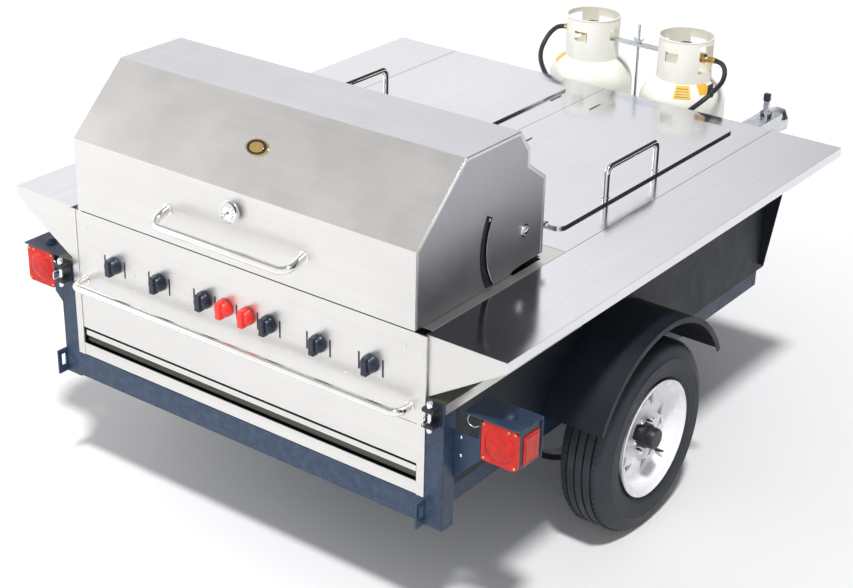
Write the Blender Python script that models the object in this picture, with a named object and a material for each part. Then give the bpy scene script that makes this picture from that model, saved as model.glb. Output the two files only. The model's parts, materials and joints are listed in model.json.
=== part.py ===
"""Towable six-burner gas grill trailer with a stainless deck, two storage bins and twin fuel tanks."""

import math

import bmesh
import bpy
from mathutils import Matrix, Vector

# Driving dimensions, in metres. X is across, Y runs forward to the coupler, Z is up from the ground.
# Inside this file Y is measured from the knob panel; TRAILER_BACK puts the origin mid-length.
GAP = 0.0003
SHEET = 0.002
TUBE_WALL = 0.003
TRAILER_BACK = -1.6582

GRILL_HALF = 0.6195
PANEL_HALF = 0.6590
SEAM_X = 0.6512
SHELF_X = 0.9013
BODY_X = 0.6830
DECK_Z = 0.9269
DECK_START, DECK_END = 0.6600, 1.9167
LIP = 0.030

RAIL_BOTTOM, RAIL_TOP = 0.3650, 0.4430
RAIL_IN, RAIL_OUT = 0.6100, 0.6600
FLOOR_Z = 0.4436
POST_IN, POST_OUT, POST_DEPTH = 0.6600, 0.7200, 0.0500
POST_BOTTOM, POST_TOP = 0.3600, 0.7450

AXLE_Y, AXLE_Z = 0.8705, 0.3020
WHEEL_X, TYRE_RADIUS, RIM_RADIUS = 0.7900, 0.3020, 0.1846
FENDER_RADIUS = 0.3850

HOOD_PIVOT_Y, HOOD_PIVOT_Z = 0.4890, 1.0430
HOOD_SLOT_RADIUS, HOOD_SLOT_HALF = 0.1935, 0.0160
HOOD_SLOT_TOP, HOOD_SLOT_FOOT, STOP_PIN_ANGLE = 150, 222, 152.5
PANEL_SPLIT_Z, SLOT_TOP, SLOT_BOTTOM, PANEL_BOTTOM = 0.6600, 0.5400, 0.4848, 0.4462
KNOB_Z = 0.7900
BURNER_X = (-0.478, -0.298, -0.120, 0.120, 0.298, 0.478)
IGNITER_X = (-0.0415, 0.0415)
LID_IN, LID_OUT, LID_START, LID_END, LID_RISE = 0.0920, 0.5590, 0.7740, 1.8250, 0.0080

TANK_X, TANK_Y, TANK_Z, TANK_RADIUS = 0.1920, 2.1300, 0.6630, 0.1525
TRAY_Z = TANK_Z - GAP
TONGUE_HALF, TONGUE_START, TONGUE_END = 0.0380, 0.7000, 3.1600
COUPLER_LATCH_Y, COUPLER_LATCH_Z = 3.2420, 0.4620
LATCH_PIN_X, LATCH_PIN_Y = 0.6900, -0.0240
LEG_X, LEG_Y = -0.0700, 2.6000

HOSE_RADIUS = 0.0085
# Each hose leaves its valve, bows outwards in front of the tank and goes under the deck's edge
# to the regulator. The left route is in its own list because the two hoses don't hang alike.
HOSE_RIGHT = (
    (0.292, 2.130, 1.040), (0.318, 2.129, 1.040), (0.343, 2.124, 1.034), (0.362, 2.108, 1.017),
    (0.372, 2.080, 0.996), (0.374, 2.045, 0.982), (0.371, 2.008, 0.970), (0.359, 1.974, 0.950),
    (0.333, 1.953, 0.922), (0.296, 1.944, 0.886), (0.250, 1.941, 0.853), (0.196, 1.941, 0.828),
    (0.142, 1.943, 0.813), (0.100, 1.945, 0.808), (0.0685, 1.945, 0.808),
)
HOSE_LEFT = (
    (-0.292, 2.130, 1.040), (-0.318, 2.129, 1.039), (-0.344, 2.124, 1.031), (-0.361, 2.106, 1.010),
    (-0.366, 2.080, 0.984), (-0.357, 2.044, 0.960), (-0.332, 2.005, 0.940), (-0.298, 1.972, 0.921),
    (-0.262, 1.953, 0.896), (-0.226, 1.944, 0.865), (-0.186, 1.942, 0.837), (-0.142, 1.943, 0.817),
    (-0.100, 1.945, 0.808), (-0.0685, 1.945, 0.808),
)

LOOKS = {
    "stainless": ((0.80, 0.79, 0.77), 0.30, 1.0),
    "polished": ((0.86, 0.85, 0.83), 0.12, 1.0),
    "frame_blue": ((0.030, 0.062, 0.120), 0.45, 0.0),
    "black_steel": ((0.012, 0.013, 0.018), 0.50, 0.0),
    "black_plastic": ((0.010, 0.012, 0.020), 0.35, 0.0),
    "red_plastic": ((0.85, 0.05, 0.03), 0.35, 0.0),
    "lamp_red": ((0.72, 0.03, 0.02), 0.15, 0.0),
    "tank_cream": ((0.90, 0.82, 0.62), 0.35, 0.0),
    "brass": ((0.72, 0.50, 0.22), 0.30, 1.0),
    "zinc": ((0.62, 0.64, 0.66), 0.30, 1.0),
    "chrome": ((0.85, 0.86, 0.88), 0.08, 1.0),
    "rim_white": ((0.88, 0.88, 0.90), 0.30, 0.0),
    "tyre_rubber": ((0.015, 0.017, 0.022), 0.80, 0.0),
    "hose_rubber": ((0.012, 0.012, 0.014), 0.60, 0.0),
    "cast_iron": ((0.060, 0.060, 0.065), 0.60, 0.6),
    "gold": ((0.75, 0.52, 0.16), 0.25, 1.0),
}


def clear_scene():
    for thing in list(bpy.data.objects):
        bpy.data.objects.remove(thing, do_unlink=True)


def make_materials():
    made = {}
    for name, (colour, roughness, metallic) in LOOKS.items():
        material = bpy.data.materials.new(name)
        material.use_nodes = True
        shader = material.node_tree.nodes["Principled BSDF"]
        shader.inputs["Base Color"].default_value = (*colour, 1.0)
        shader.inputs["Roughness"].default_value = roughness
        shader.inputs["Metallic"].default_value = metallic
        made[name] = material
    return made


# ---- Shapes: each returns a closed bmesh ----


def block(low, high):
    shape = bmesh.new()
    size = Vector(high) - Vector(low)
    centre = (Vector(high) + Vector(low)) / 2
    bmesh.ops.create_cube(shape, size=1.0, matrix=Matrix.Translation(centre) @ Matrix.Diagonal((*size, 1.0)))
    return shape


def extrude(outline, along, start, end):
    """A prism. The outline holds (Y, Z) for X, (X, Z) for Y and (X, Y) for Z."""
    order = {
        "X": lambda a, b, c: (c, a, b),
        "Y": lambda a, b, c: (a, c, b),
        "Z": lambda a, b, c: (a, b, c),
    }[along]
    shape = bmesh.new()
    near = [shape.verts.new(order(a, b, start)) for a, b in outline]
    far = [shape.verts.new(order(a, b, end)) for a, b in outline]
    shape.faces.new(near)
    shape.faces.new(far)
    for i in range(len(outline)):
        j = (i + 1) % len(outline)
        shape.faces.new((near[i], near[j], far[j], far[i]))
    bmesh.ops.recalc_face_normals(shape, faces=shape.faces)
    return shape


def turn(profile, axis, centre, steps):
    """A turned solid from (radius, place along the axis) points; a radius of 0 is a point on the axis."""
    turned = {
        "X": lambda r, h, c, s: (h, r * c, r * s),
        "Y": lambda r, h, c, s: (r * c, h, r * s),
        "Z": lambda r, h, c, s: (r * c, r * s, h),
    }[axis]
    shape = bmesh.new()
    rings = []
    for radius, height in profile:
        count = 1 if radius == 0 else steps
        ring = []
        for step in range(count):
            angle = 2 * math.pi * step / steps
            place = turned(radius, height, math.cos(angle), math.sin(angle))
            ring.append(shape.verts.new(Vector(centre) + Vector(place)))
        rings.append(ring)
    open_ended = profile[0][0] == 0 and profile[-1][0] == 0
    pairs = list(zip(rings, rings[1:]))
    if not open_ended:
        pairs.append((rings[-1], rings[0]))
    for first, second in pairs:
        for step in range(steps):
            after = (step + 1) % steps
            corners = [first[step % len(first)], first[after % len(first)], second[after % len(second)]]
            corners.append(second[step % len(second)])
            distinct = list(dict.fromkeys(corners))
            if len(distinct) > 2:
                shape.faces.new(distinct)
    bmesh.ops.recalc_face_normals(shape, faces=shape.faces)
    return shape


def rod(low, high, radius, steps=12):
    """A round bar between two points that differ along one axis only."""
    across = Vector(high) - Vector(low)
    axis = "XYZ"[max(range(3), key=lambda i: abs(across[i]))]
    length = across["XYZ".index(axis)]
    return turn(((0, 0), (radius, 0), (radius, length), (0, length)), axis, low, steps)


def sweep(path, radius, sides):
    """A round tube with flat ends along a path of points, its rings mitred at the bends."""
    points = [Vector(point) for point in path]
    shape = bmesh.new()
    heading = (points[1] - points[0]).normalized()
    side = heading.orthogonal().normalized()
    rings = []
    for i, point in enumerate(points):
        ahead = (points[min(i + 1, len(points) - 1)] - points[max(i - 1, 0)]).normalized()
        side = (side - side.dot(ahead) * ahead).normalized()
        other = ahead.cross(side)
        ring = []
        for step in range(sides):
            angle = 2 * math.pi * step / sides
            ring.append(shape.verts.new(point + radius * (math.cos(angle) * side + math.sin(angle) * other)))
        rings.append(ring)
    for first, second in zip(rings, rings[1:]):
        for step in range(sides):
            after = (step + 1) % sides
            shape.faces.new((first[step], first[after], second[after], second[step]))
    shape.faces.new(rings[0])
    shape.faces.new(rings[-1])
    bmesh.ops.recalc_face_normals(shape, faces=shape.faces)
    return shape


def arc_points(centre, radius, start, end, steps):
    """Points on an arc from start to end, in degrees."""
    angles = [math.radians(start + (end - start) * i / steps) for i in range(steps + 1)]
    return [(centre[0] + radius * math.cos(a), centre[1] + radius * math.sin(a)) for a in angles]


def rounded(low, high, radius, steps=4):
    """A rectangle's outline with round corners."""
    (x0, y0), (x1, y1) = low, high
    corners = ((x1, y1, 0), (x0, y1, 90), (x0, y0, 180), (x1, y0, 270))
    points = []
    for x, y, start in corners:
        centre = (x - math.copysign(radius, x - (x0 + x1) / 2), y - math.copysign(radius, y - (y0 + y1) / 2))
        points += arc_points(centre, radius, start, start + 90, steps)
    return points


def ring_sector(centre, inner, outer, start, end, steps):
    """The outline of an arch between two radii."""
    return arc_points(centre, outer, start, end, steps) + arc_points(centre, inner, end, start, steps)


def smooth_path(points, per_span):
    """Points on a Catmull-Rom curve through the given ones."""
    known = [Vector(point) for point in points]
    known = [2 * known[0] - known[1]] + known + [2 * known[-1] - known[-2]]
    path = []
    for before, start, end, after in zip(known, known[1:], known[2:], known[3:]):
        for step in range(per_span):
            t = step / per_span
            straight = 2 * start + (end - before) * t
            square = (2 * before - 5 * start + 4 * end - after) * t * t
            cube = (3 * start - before - 3 * end + after) * t ** 3
            path.append((straight + square + cube) / 2)
    return path + [known[-2]]


def together(shapes):
    """Several closed shapes in one bmesh, for a cutter made of separate bodies."""
    merged = bmesh.new()
    for shape in shapes:
        mesh = bpy.data.meshes.new("piece")
        shape.to_mesh(mesh)
        merged.from_mesh(mesh)
        bpy.data.meshes.remove(mesh)
        shape.free()
    return merged


def combine(base, others, operation):
    """Join the others to the base, or cut them from it, one by one."""
    target = temporary_object(base)
    helpers = [temporary_object(other) for other in others]
    for helper in helpers:
        modifier = target.modifiers.new("combine", "BOOLEAN")
        modifier.operation = operation
        modifier.object = helper
    graph = bpy.context.evaluated_depsgraph_get()
    result = bpy.data.meshes.new_from_object(target.evaluated_get(graph))
    for helper in [target, *helpers]:
        bpy.data.objects.remove(helper, do_unlink=True)
    shape = bmesh.new()
    shape.from_mesh(result)
    bpy.data.meshes.remove(result)
    return shape


def join(*shapes):
    return combine(shapes[0], shapes[1:], "UNION")


def cut(base, *shapes):
    return combine(base, shapes, "DIFFERENCE")


def temporary_object(shape):
    mesh = bpy.data.meshes.new("temporary")
    shape.to_mesh(mesh)
    shape.free()
    thing = bpy.data.objects.new("temporary", mesh)
    bpy.context.scene.collection.objects.link(thing)
    return thing


def mirrored(shape):
    copy = shape.copy()
    bmesh.ops.scale(copy, vec=(-1, 1, 1), verts=copy.verts)
    bmesh.ops.reverse_faces(copy, faces=copy.faces)
    return copy


def place(name, shape, look, pivot=(0, 0, 0)):
    """Put a shape in the scene as a named part, with its origin at the pivot."""
    mesh = bpy.data.meshes.new(name)
    bmesh.ops.translate(shape, vec=-Vector(pivot), verts=shape.verts)
    shape.to_mesh(mesh)
    shape.free()
    mesh.materials.append(MATERIALS[look])
    mesh.shade_smooth()
    mesh.set_sharp_from_angle(angle=math.radians(35))
    part = bpy.data.objects.new(name, mesh)
    part.location = pivot
    part.parent = TRAILER
    bpy.context.scene.collection.objects.link(part)
    return part


def place_pair(name, shape, look, pivot=(0, 0, 0)):
    """The right-hand part as drawn and its mirror image on the left."""
    left_pivot = (-pivot[0], pivot[1], pivot[2])
    place(f"{name}_left", mirrored(shape), look, left_pivot)
    place(f"{name}_right", shape, look, pivot)


# ---- Chassis ----


def box_tube(low, high, along):
    """A rectangular steel tube with open ends."""
    inner_low = [low[i] - 0.01 if i == along else low[i] + TUBE_WALL for i in range(3)]
    inner_high = [high[i] + 0.01 if i == along else high[i] - TUBE_WALL for i in range(3)]
    return cut(block(low, high), block(inner_low, inner_high))


def sided(side, low, high):
    """A block drawn on the right, or its mirror image when the side is -1."""
    low_x, high_x = sorted((side * low[0], side * high[0]))
    return block((low_x, *low[1:]), (high_x, *high[1:]))


def chassis_frame():
    """The welded frame: rear channel, posts, rails, crossmembers, tongue, leg sleeve and latch knuckles."""
    wall, reach = 0.004, POST_IN + TUBE_WALL / 2
    channel = (
        (0, RAIL_BOTTOM), (POST_DEPTH, RAIL_BOTTOM),
        (POST_DEPTH, RAIL_BOTTOM + wall), (wall, RAIL_BOTTOM + wall),
        (wall, RAIL_TOP - wall), (POST_DEPTH, RAIL_TOP - wall), (POST_DEPTH, RAIL_TOP), (0, RAIL_TOP),
    )
    low, top, skin = RAIL_BOTTOM + 0.0005, RAIL_TOP - 0.0005, TUBE_WALL
    outside = [extrude(channel, "X", -reach, reach)]
    outside.append(block((-TONGUE_HALF, TONGUE_START + 0.02, low), (TONGUE_HALF, TONGUE_END, top - 0.0015)))
    bores = [block((-TONGUE_HALF + skin, 0.706, low + skin), (TONGUE_HALF - skin, 3.2, top - 0.0015 - skin))]
    for start in (TONGUE_START, 1.84):
        end = start + POST_DEPTH
        outside.append(block((-RAIL_IN - 0.001, start, low + 0.001), (RAIL_IN + 0.001, end, top - 0.0005)))
        for side in (-1, 1):
            near = (TONGUE_HALF + 0.002, start + skin, low + 0.001 + skin)
            bores.append(sided(side, near, (RAIL_IN + 0.010, end - skin, top - 0.0005 - skin)))
    for side in (-1, 1):
        outside.append(sided(side, (RAIL_IN, POST_DEPTH - 0.0015, low), (RAIL_OUT - 0.001, 1.90, top)))
        bore_low, bore_high = (RAIL_IN + skin, 0.02, low + wall), (RAIL_OUT - 0.001 - skin, 1.95, top - wall)
        bores.append(sided(side, bore_low, bore_high))
        outside.append(sided(side, (POST_IN, 0, POST_BOTTOM), (POST_OUT, POST_DEPTH, POST_TOP)))
        bores.append(sided(side, (POST_IN + skin, skin, 0.30), (POST_OUT - skin, POST_DEPTH - skin, 0.80)))
    frame = cut(join(*outside), *bores)
    brackets = [stake_bracket(side) for side in (-1, 1)] + [latch_knuckles(side) for side in (-1, 1)]
    sleeve = ((LEG_X - 0.0315, LEG_Y - 0.0315, 0.3500), (-TONGUE_HALF + 0.001, LEG_Y + 0.0315, 0.4500))
    place("chassis_frame", join(frame, *brackets, box_tube(*sleeve, 2)), "frame_blue")


def stake_bracket(side):
    """A flat bracket with a window, standing off the rear post's left edge."""
    out, edge = 0.0350, min(side * POST_IN, side * POST_OUT)
    plate = block((edge - 0.004, -out, POST_BOTTOM + 0.002), (edge + 0.002, 0.002, 0.4400))
    return cut(plate, block((edge - 0.01, -out + 0.012, 0.385), (edge + 0.01, -0.005, 0.425)))


def latch_knuckles(side):
    """Two bored knuckles on a backing plate, welded to the rear post."""
    plate = sided(side, (0.668, -0.0040, 0.680), (0.712, 0.0010, 0.7420))
    knuckles = [sided(side, (0.672, -0.0360, z), (0.708, -0.0030, z + 0.010)) for z in (0.684, 0.730)]
    x = side * LATCH_PIN_X
    return cut(join(plate, *knuckles), rod((x, LATCH_PIN_Y, 0.66), (x, LATCH_PIN_Y, 0.77), 0.0059, 16))


def axle():
    """The beam with its stub spindles, and under it the two leaf packs with their seats and hangers."""
    beam, spindle, end = 0.028, 0.016, 0.8600
    shoulder = 0.6850
    profile = ((0, -end), (spindle, -end), (spindle, -shoulder), (beam, -shoulder))
    profile += ((beam, shoulder), (spindle, shoulder), (spindle, end), (0, end))
    pieces = [turn(profile, "X", (0, AXLE_Y, AXLE_Z), 20)]
    half, sag, low, thick, steps = 0.330, 0.125, 0.1950, 0.020, 14
    reach = [half * (2 * i / steps - 1) for i in range(steps + 1)]
    curve = [(y, low + sag * (y / half) ** 2) for y in reach]
    outline = [(AXLE_Y + y, z) for y, z in curve] + [(AXLE_Y + y, z + thick) for y, z in reversed(curve)]
    inner, outer = RAIL_IN + 0.0025, RAIL_OUT - 0.0025
    for side in (-1, 1):
        pieces.append(extrude(outline, "X", *sorted((side * inner, side * outer))))
        seat_low, seat_high = (inner, AXLE_Y - 0.04, low + 0.010), (outer, AXLE_Y + 0.04, AXLE_Z - beam / 2)
        pieces.append(sided(side, seat_low, seat_high))
        for y in (AXLE_Y - half, AXLE_Y + half):
            foot, top = low + sag - 0.01, RAIL_BOTTOM - GAP
            pieces.append(sided(side, (inner - 0.001, y - 0.02, foot), (outer + 0.001, y + 0.02, top)))
    place("axle", join(*pieces), "black_steel")


def fenders():
    """A rolled arch over each wheel with a narrow outer flange, welded to the body's side."""
    centre, inner_x, outer_x = (AXLE_Y, AXLE_Z), BODY_X + GAP, 0.8850
    middle = FENDER_RADIUS - SHEET / 2
    skin = ring_sector(centre, FENDER_RADIUS - SHEET, FENDER_RADIUS, 26, 154, 20)
    flange = ring_sector(centre, FENDER_RADIUS - 0.018, middle, 26.4, 153.6, 20)
    arch = join(extrude(skin, "X", inner_x, outer_x), extrude(flange, "X", outer_x - SHEET, outer_x + 0.0005))
    place_pair("fender", arch, "frame_blue")


# ---- Wheels ----


def wheels():
    """Tyre, steel rim with hand holes, and the hub with its grease cap, on each end of the axle."""
    centre = (0, AXLE_Y, AXLE_Z)
    bead, shoulder, half = RIM_RADIUS - 0.004, 0.270, 0.0850
    tyre = (
        (bead, WHEEL_X - 0.066), (0.205, WHEEL_X - 0.079),
        (0.236, WHEEL_X - half), (shoulder, WHEEL_X - 0.078),
        (0.293, WHEEL_X - 0.062), (TYRE_RADIUS, WHEEL_X - 0.040), (TYRE_RADIUS, WHEEL_X + 0.040),
        (0.293, WHEEL_X + 0.062), (shoulder, WHEEL_X + 0.078), (0.236, WHEEL_X + half),
        (0.205, WHEEL_X + 0.079), (bead, WHEEL_X + 0.066), (0.170, WHEEL_X + 0.060), (0.170, WHEEL_X - 0.060),
    )
    place_pair("tyre", turn(tyre, "X", centre, 40), "tyre_rubber", (WHEEL_X, AXLE_Y, AXLE_Z))
    seat = 0.170 - GAP
    face = WHEEL_X + 0.0813
    rim = (
        (RIM_RADIUS, face), (RIM_RADIUS, face - 0.005),
        (seat - 0.001, face - 0.013), (seat - 0.001, WHEEL_X - 0.060),
        (0.176, WHEEL_X - 0.0805), (0.170, WHEEL_X - 0.0810),
        (0.160, WHEEL_X - 0.060), (0.160, WHEEL_X + 0.010),
        (0.066, WHEEL_X + 0.020), (0.040, WHEEL_X + 0.020), (0.040, WHEEL_X + 0.026), (0.068, WHEEL_X + 0.026),
        (0.080, WHEEL_X + 0.034), (0.150, WHEEL_X + 0.030), (0.163, WHEEL_X + 0.060), (0.178, face - 0.001),
    )
    disc = turn(rim, "X", centre, 30)
    holes = []
    for i in range(10):
        angle = 2 * math.pi * (i + (0.18 if i % 2 else -0.18)) / 10
        y, z = AXLE_Y + 0.122 * math.cos(angle), AXLE_Z + 0.122 * math.sin(angle)
        corners = [angle + turned for turned in (0, 2.09, 4.19)]
        triangle = [(y + 0.019 * math.cos(a), z + 0.019 * math.sin(a)) for a in corners]
        holes.append(extrude(triangle, "X", WHEEL_X - 0.02, WHEEL_X + 0.06))
    bore = 0.0165
    hub = (
        (0, 0.8700), (bore, 0.8700), (bore, 0.7000), (0.045, 0.7000), (0.045, 0.7900), (0.064, 0.8000),
        (0.064, 0.8120), (0.0380, 0.8130), (0.0380, 0.8640), (0.0300, 0.8760), (0, 0.8780),
    )
    wheel = join(cut(disc, together(holes)), turn(hub, "X", centre, 18))
    place_pair("rim", wheel, "rim_white", (WHEEL_X, AXLE_Y, AXLE_Z))


# ---- Tail lamps ----


def tail_lamps():
    """A gusseted bracket on each rear post, a lamp box under its hood and a square red lens."""
    plate = 0.004
    gusset = ((POST_OUT + GAP, 0.510), (0.803, 0.592), (0.803, 0.655), (POST_OUT + GAP, 0.655))
    parts = [
        extrude(gusset, "Y", 0.0455, 0.0495),
        block((0.7990, 0.0455, 0.592), (0.8030, 0.1520, 0.7200)),
        block((0.7500, 0.0420, 0.7180), (0.9260, 0.1520, 0.7180 + plate)),
        block((0.8000, 0.1480, 0.6000), (0.9260, 0.1520, 0.7200)),
    ]
    grommet = turn(((0, 0.7200), (0.020, 0.7200), (0.018, 0.7290), (0.010, 0.7340), (0, 0.7350)), "Z",
                   (0.862, 0.095, 0), 12)
    place_pair("tail_lamp_bracket", join(*parts, grommet), "frame_blue")
    box = extrude(rounded((0.8035, 0.5965), (0.9195, 0.7175), 0.008, 2), "Y", 0.0570, 0.1475)
    lens = extrude(rounded((0.8045, 0.5975), (0.9185, 0.7150), 0.010, 3), "Y", 0.0455, 0.0580)
    bowl = turn(((0, 0.0400), (0.040, 0.0400), (0.046, 0.0440), (0.046, 0.0500), (0, 0.0500)), "Y",
                (0.8615, 0, 0.6560), 24)
    place_pair("tail_lamp", join(box, lens, bowl), "lamp_red")


def latch_bails():
    """The chrome pin in each post's knuckles with its wire bail, which swings about the pin."""
    pin_x, pin_y, pin = LATCH_PIN_X, LATCH_PIN_Y, 0.0055
    profile = ((0, 0.667), (0.008, 0.669), (0.008, 0.6830), (pin, 0.6830), (pin, 0.7405), (0.009, 0.7405))
    profile += ((0.009, 0.754), (0.006, 0.758), (0, 0.759))
    stem = turn(profile, "Z", (pin_x, pin_y, 0), 12)
    foot, out = pin_y - 0.001, pin_y - 0.030
    wire = [(pin_x, foot, 0.7240), (pin_x, out + 0.006, 0.7240), (pin_x, out, 0.7190)]
    wire += [(pin_x, out, 0.7050), (pin_x, out + 0.006, 0.7000), (pin_x, foot, 0.7000)]
    place_pair("latch_bail", join(stem, sweep(wire, 0.0020, 8)), "chrome", (pin_x, pin_y, 0.712))


# ---- Body, deck and shelves ----


def storage_body():
    """The painted tub: floor, sides, the walls that part it, and the drip tray's two runners."""
    side = ((0.0505, FLOOR_Z), (1.9000, FLOOR_Z), (1.9000, DECK_Z - 0.0026), (0.6620, DECK_Z - 0.0026))
    side += ((0.6620, 0.7450), (0.0505, 0.7450))
    inner, top = BODY_X - SHEET, DECK_Z - 0.0026
    floor = block((-inner - 0.001, 0.0505, FLOOR_Z), (inner + 0.001, 1.9000, FLOOR_Z + SHEET))
    walls = [extrude(side, "X", inner, BODY_X), extrude(side, "X", -BODY_X, -inner)]
    for start in (0.6620, 1.9000 - SHEET):
        walls.append(block((-inner - 0.001, start, FLOOR_Z + 0.001), (inner + 0.001, start + SHEET, top)))
    walls.append(block((-SHEET / 2, 0.6630, FLOOR_Z + 0.001), (SHEET / 2, 1.8990, top)))
    for side in (-1, 1):
        walls.append(sided(side, (0.6000, 0.0600, 0.4870), (inner + 0.001, 0.6100, 0.4890)))
    pipe_hole = rod((0.070, 0.632, 0.43), (0.070, 0.632, 0.46), 0.012)
    place("storage_body", cut(join(floor, *walls), pipe_hole), "frame_blue")


def deck_panels():
    """Two stainless deck sheets that meet at the centre, each with an opening under its lid."""
    seam, far = 0.0005, DECK_END
    sheet = block((seam, DECK_START + GAP, DECK_Z - SHEET), (SEAM_X - 0.0005, far, DECK_Z))
    front_lip = block((seam, far - SHEET, DECK_Z - LIP), (SEAM_X - 0.0005, far, DECK_Z - 0.001))
    opening = rounded((LID_IN + 0.020, LID_START + 0.020), (LID_OUT - 0.020, LID_END - 0.020), 0.02, 3)
    deck = cut(join(sheet, front_lip), extrude(opening, "Z", 0.90, 0.95))
    place_pair("deck_panel", deck, "stainless")


def lids():
    """Raised bin lids hinged along their inner edges, with bent-tube handles near the outer edges."""
    base, top = DECK_Z + GAP, DECK_Z + LID_RISE
    skin = extrude(rounded((LID_IN, LID_START), (LID_OUT, LID_END), 0.030, 5), "Z", base, top)
    inner = rounded((LID_IN + SHEET, LID_START + SHEET), (LID_OUT - SHEET, LID_END - SHEET), 0.028, 5)
    x, start, end, rise, bend = 0.5350, 1.0540, 1.3450, 0.0950, 0.0240
    corner_a = arc_points((start + bend, top + rise - bend), bend, 180, 90, 5)
    corner_b = arc_points((end - bend, top + rise - bend), bend, 90, 0, 5)
    path = [(x, start, top - 0.001)] + [(x, y, z) for y, z in corner_a + corner_b] + [(x, end, top - 0.001)]
    lid = join(cut(skin, extrude(inner, "Z", base - 0.01, top - SHEET)), sweep(path, 0.0105, 12))
    place_pair("lid", lid, "stainless", (LID_IN, (LID_START + LID_END) / 2, base))


def shelves():
    """Side shelves: a flat top, turned-down lips, a tapered gusset and a bracket at the far end."""
    start, end, inner = 0.0080, DECK_END, SEAM_X + 0.0005
    top = block((inner, start, DECK_Z - SHEET), (SHELF_X, end, DECK_Z))
    lip = block((SHELF_X - SHEET, start, DECK_Z - LIP), (SHELF_X, end, DECK_Z - 0.001))
    far_lip = block((inner, end - SHEET, DECK_Z - LIP), (SHELF_X, end, DECK_Z - 0.001))
    gusset = ((PANEL_HALF + 0.001, 0.7485), (SHELF_X, DECK_Z - LIP), (SHELF_X, DECK_Z - 0.001))
    gusset += ((PANEL_HALF + 0.001, DECK_Z - 0.001),)
    plate = ((BODY_X + GAP, 0.4650), (0.7000, 0.4650), (0.7680, DECK_Z - 0.001), (BODY_X + GAP, DECK_Z - 0.001))
    bracket = [
        extrude(plate, "Y", 1.8600, 1.8630),
        block((BODY_X + GAP, 1.8605, 0.4650), (BODY_X + GAP + 0.003, 1.9000, DECK_Z - 0.001)),
    ]
    shelf = join(top, lip, far_lip, extrude(gusset, "Y", start, start + SHEET), *bracket)
    place_pair("shelf", shelf, "stainless")


# ---- Grill ----


def grill_body():
    """The stainless shell round the firebox: side walls with ledges, rear wall, rim, hood ears and pins."""
    near, rear, top = 0.0350, 0.6595, DECK_Z
    outer = SEAM_X - 0.0007
    bolt = ((0, 0.6115), (0.0060, 0.6115), (0.0060, 0.6199), (0.0140, 0.6199), (0.0140, 0.6260), (0, 0.6285))
    stop_y = HOOD_PIVOT_Y + HOOD_SLOT_RADIUS * math.cos(math.radians(STOP_PIN_ANGLE))
    stop_z = HOOD_PIVOT_Z + HOOD_SLOT_RADIUS * math.sin(math.radians(STOP_PIN_ANGLE))
    ear = (
        (0.250, top - 0.001), (0.436, top - 0.001), (0.515, 1.010),
        (0.525, 1.075), (0.330, 1.170), (0.290, 1.170),
    )
    pieces = []
    for side in (-1, 1):
        pieces += [
            sided(side, (outer - SHEET, near, 0.7200), (outer, rear, top - 0.001)),
            sided(side, (outer - 0.001, near + 0.0005, 0.7460), (0.7225, rear - 0.006, 0.7480)),
            sided(side, (0.6600, 0.0010, 0.7460), (0.7225, near + 0.0010, 0.7480)),
            sided(side, (0.7205, 0.0015, 0.7180), (0.7225, rear - 0.0065, 0.7470)),
            sided(side, (0.6100, near + 0.0005, top - SHEET), (outer - 0.0005, rear - 0.0005, top)),
            extrude(ear, "X", *sorted((side * 0.6105, side * 0.6130))),
            rod((side * 0.6115, stop_y, stop_z), (side * 0.6225, stop_y, stop_z), 0.0050, 10),
        ]
        pin = turn(bolt, "X", (0, HOOD_PIVOT_Y, HOOD_PIVOT_Z), 16)
        pieces.append(pin if side > 0 else mirrored(pin))
    pieces.append(block((-outer, rear - SHEET, 0.5600), (outer, rear, top - 0.0005)))
    pieces.append(block((-0.6250, 0.5900, top - SHEET), (0.6250, rear - 0.001, top)))
    pieces.append(block((-0.6250, near, top - SHEET), (0.6250, near + 0.020, top)))
    swing = [sided(side, (0.6080, 0.438, top - 0.01), (0.6220, 0.577, top + 0.01)) for side in (-1, 1)]
    place("grill_body", cut(join(*pieces), *swing), "stainless")


def firebox():
    """An open steel box under the hood, with grate ledges, burner ports and a grease outlet."""
    half, near, rear, low, top = 0.6070, 0.0600, 0.5880, 0.5850, DECK_Z - SHEET - 0.0005
    shell = block((-half, near, low), (half, rear, top))
    inside = block((-half + SHEET, near + SHEET, low + SHEET), (half - SHEET, rear - SHEET, top + 0.05))
    outlet = block((-0.30, 0.25, low - 0.01), (0.30, 0.40, low + 0.01))
    ports = [rod((x, near - 0.01, 0.7000), (x, near + 0.01, 0.7000), 0.0150) for x in BURNER_X]
    swing = block((-half - 0.01, 0.437, 0.9010), (half + 0.01, 0.577, 0.9500))
    ledges = [
        block((-half + 0.001, y, 0.8840), (half - 0.001, y + 0.014, 0.8860))
        for y in (near + 0.001, rear - 0.015)
    ]
    place("firebox", join(cut(shell, inside, outlet, swing, together(ports)), *ledges), "stainless")


def burners():
    """Six tube burners joined near the back by the crossover channel that carries the flame across."""
    radius, z = 0.0120, 0.7000
    tubes = [rod((x, 0.0560, z), (x, 0.5400, z), radius, 10) for x in BURNER_X]
    crossover = block((-0.478, 0.4900, z - 0.006), (0.478, 0.5050, z + 0.006))
    place("burners", join(crossover, *tubes), "cast_iron")


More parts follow.
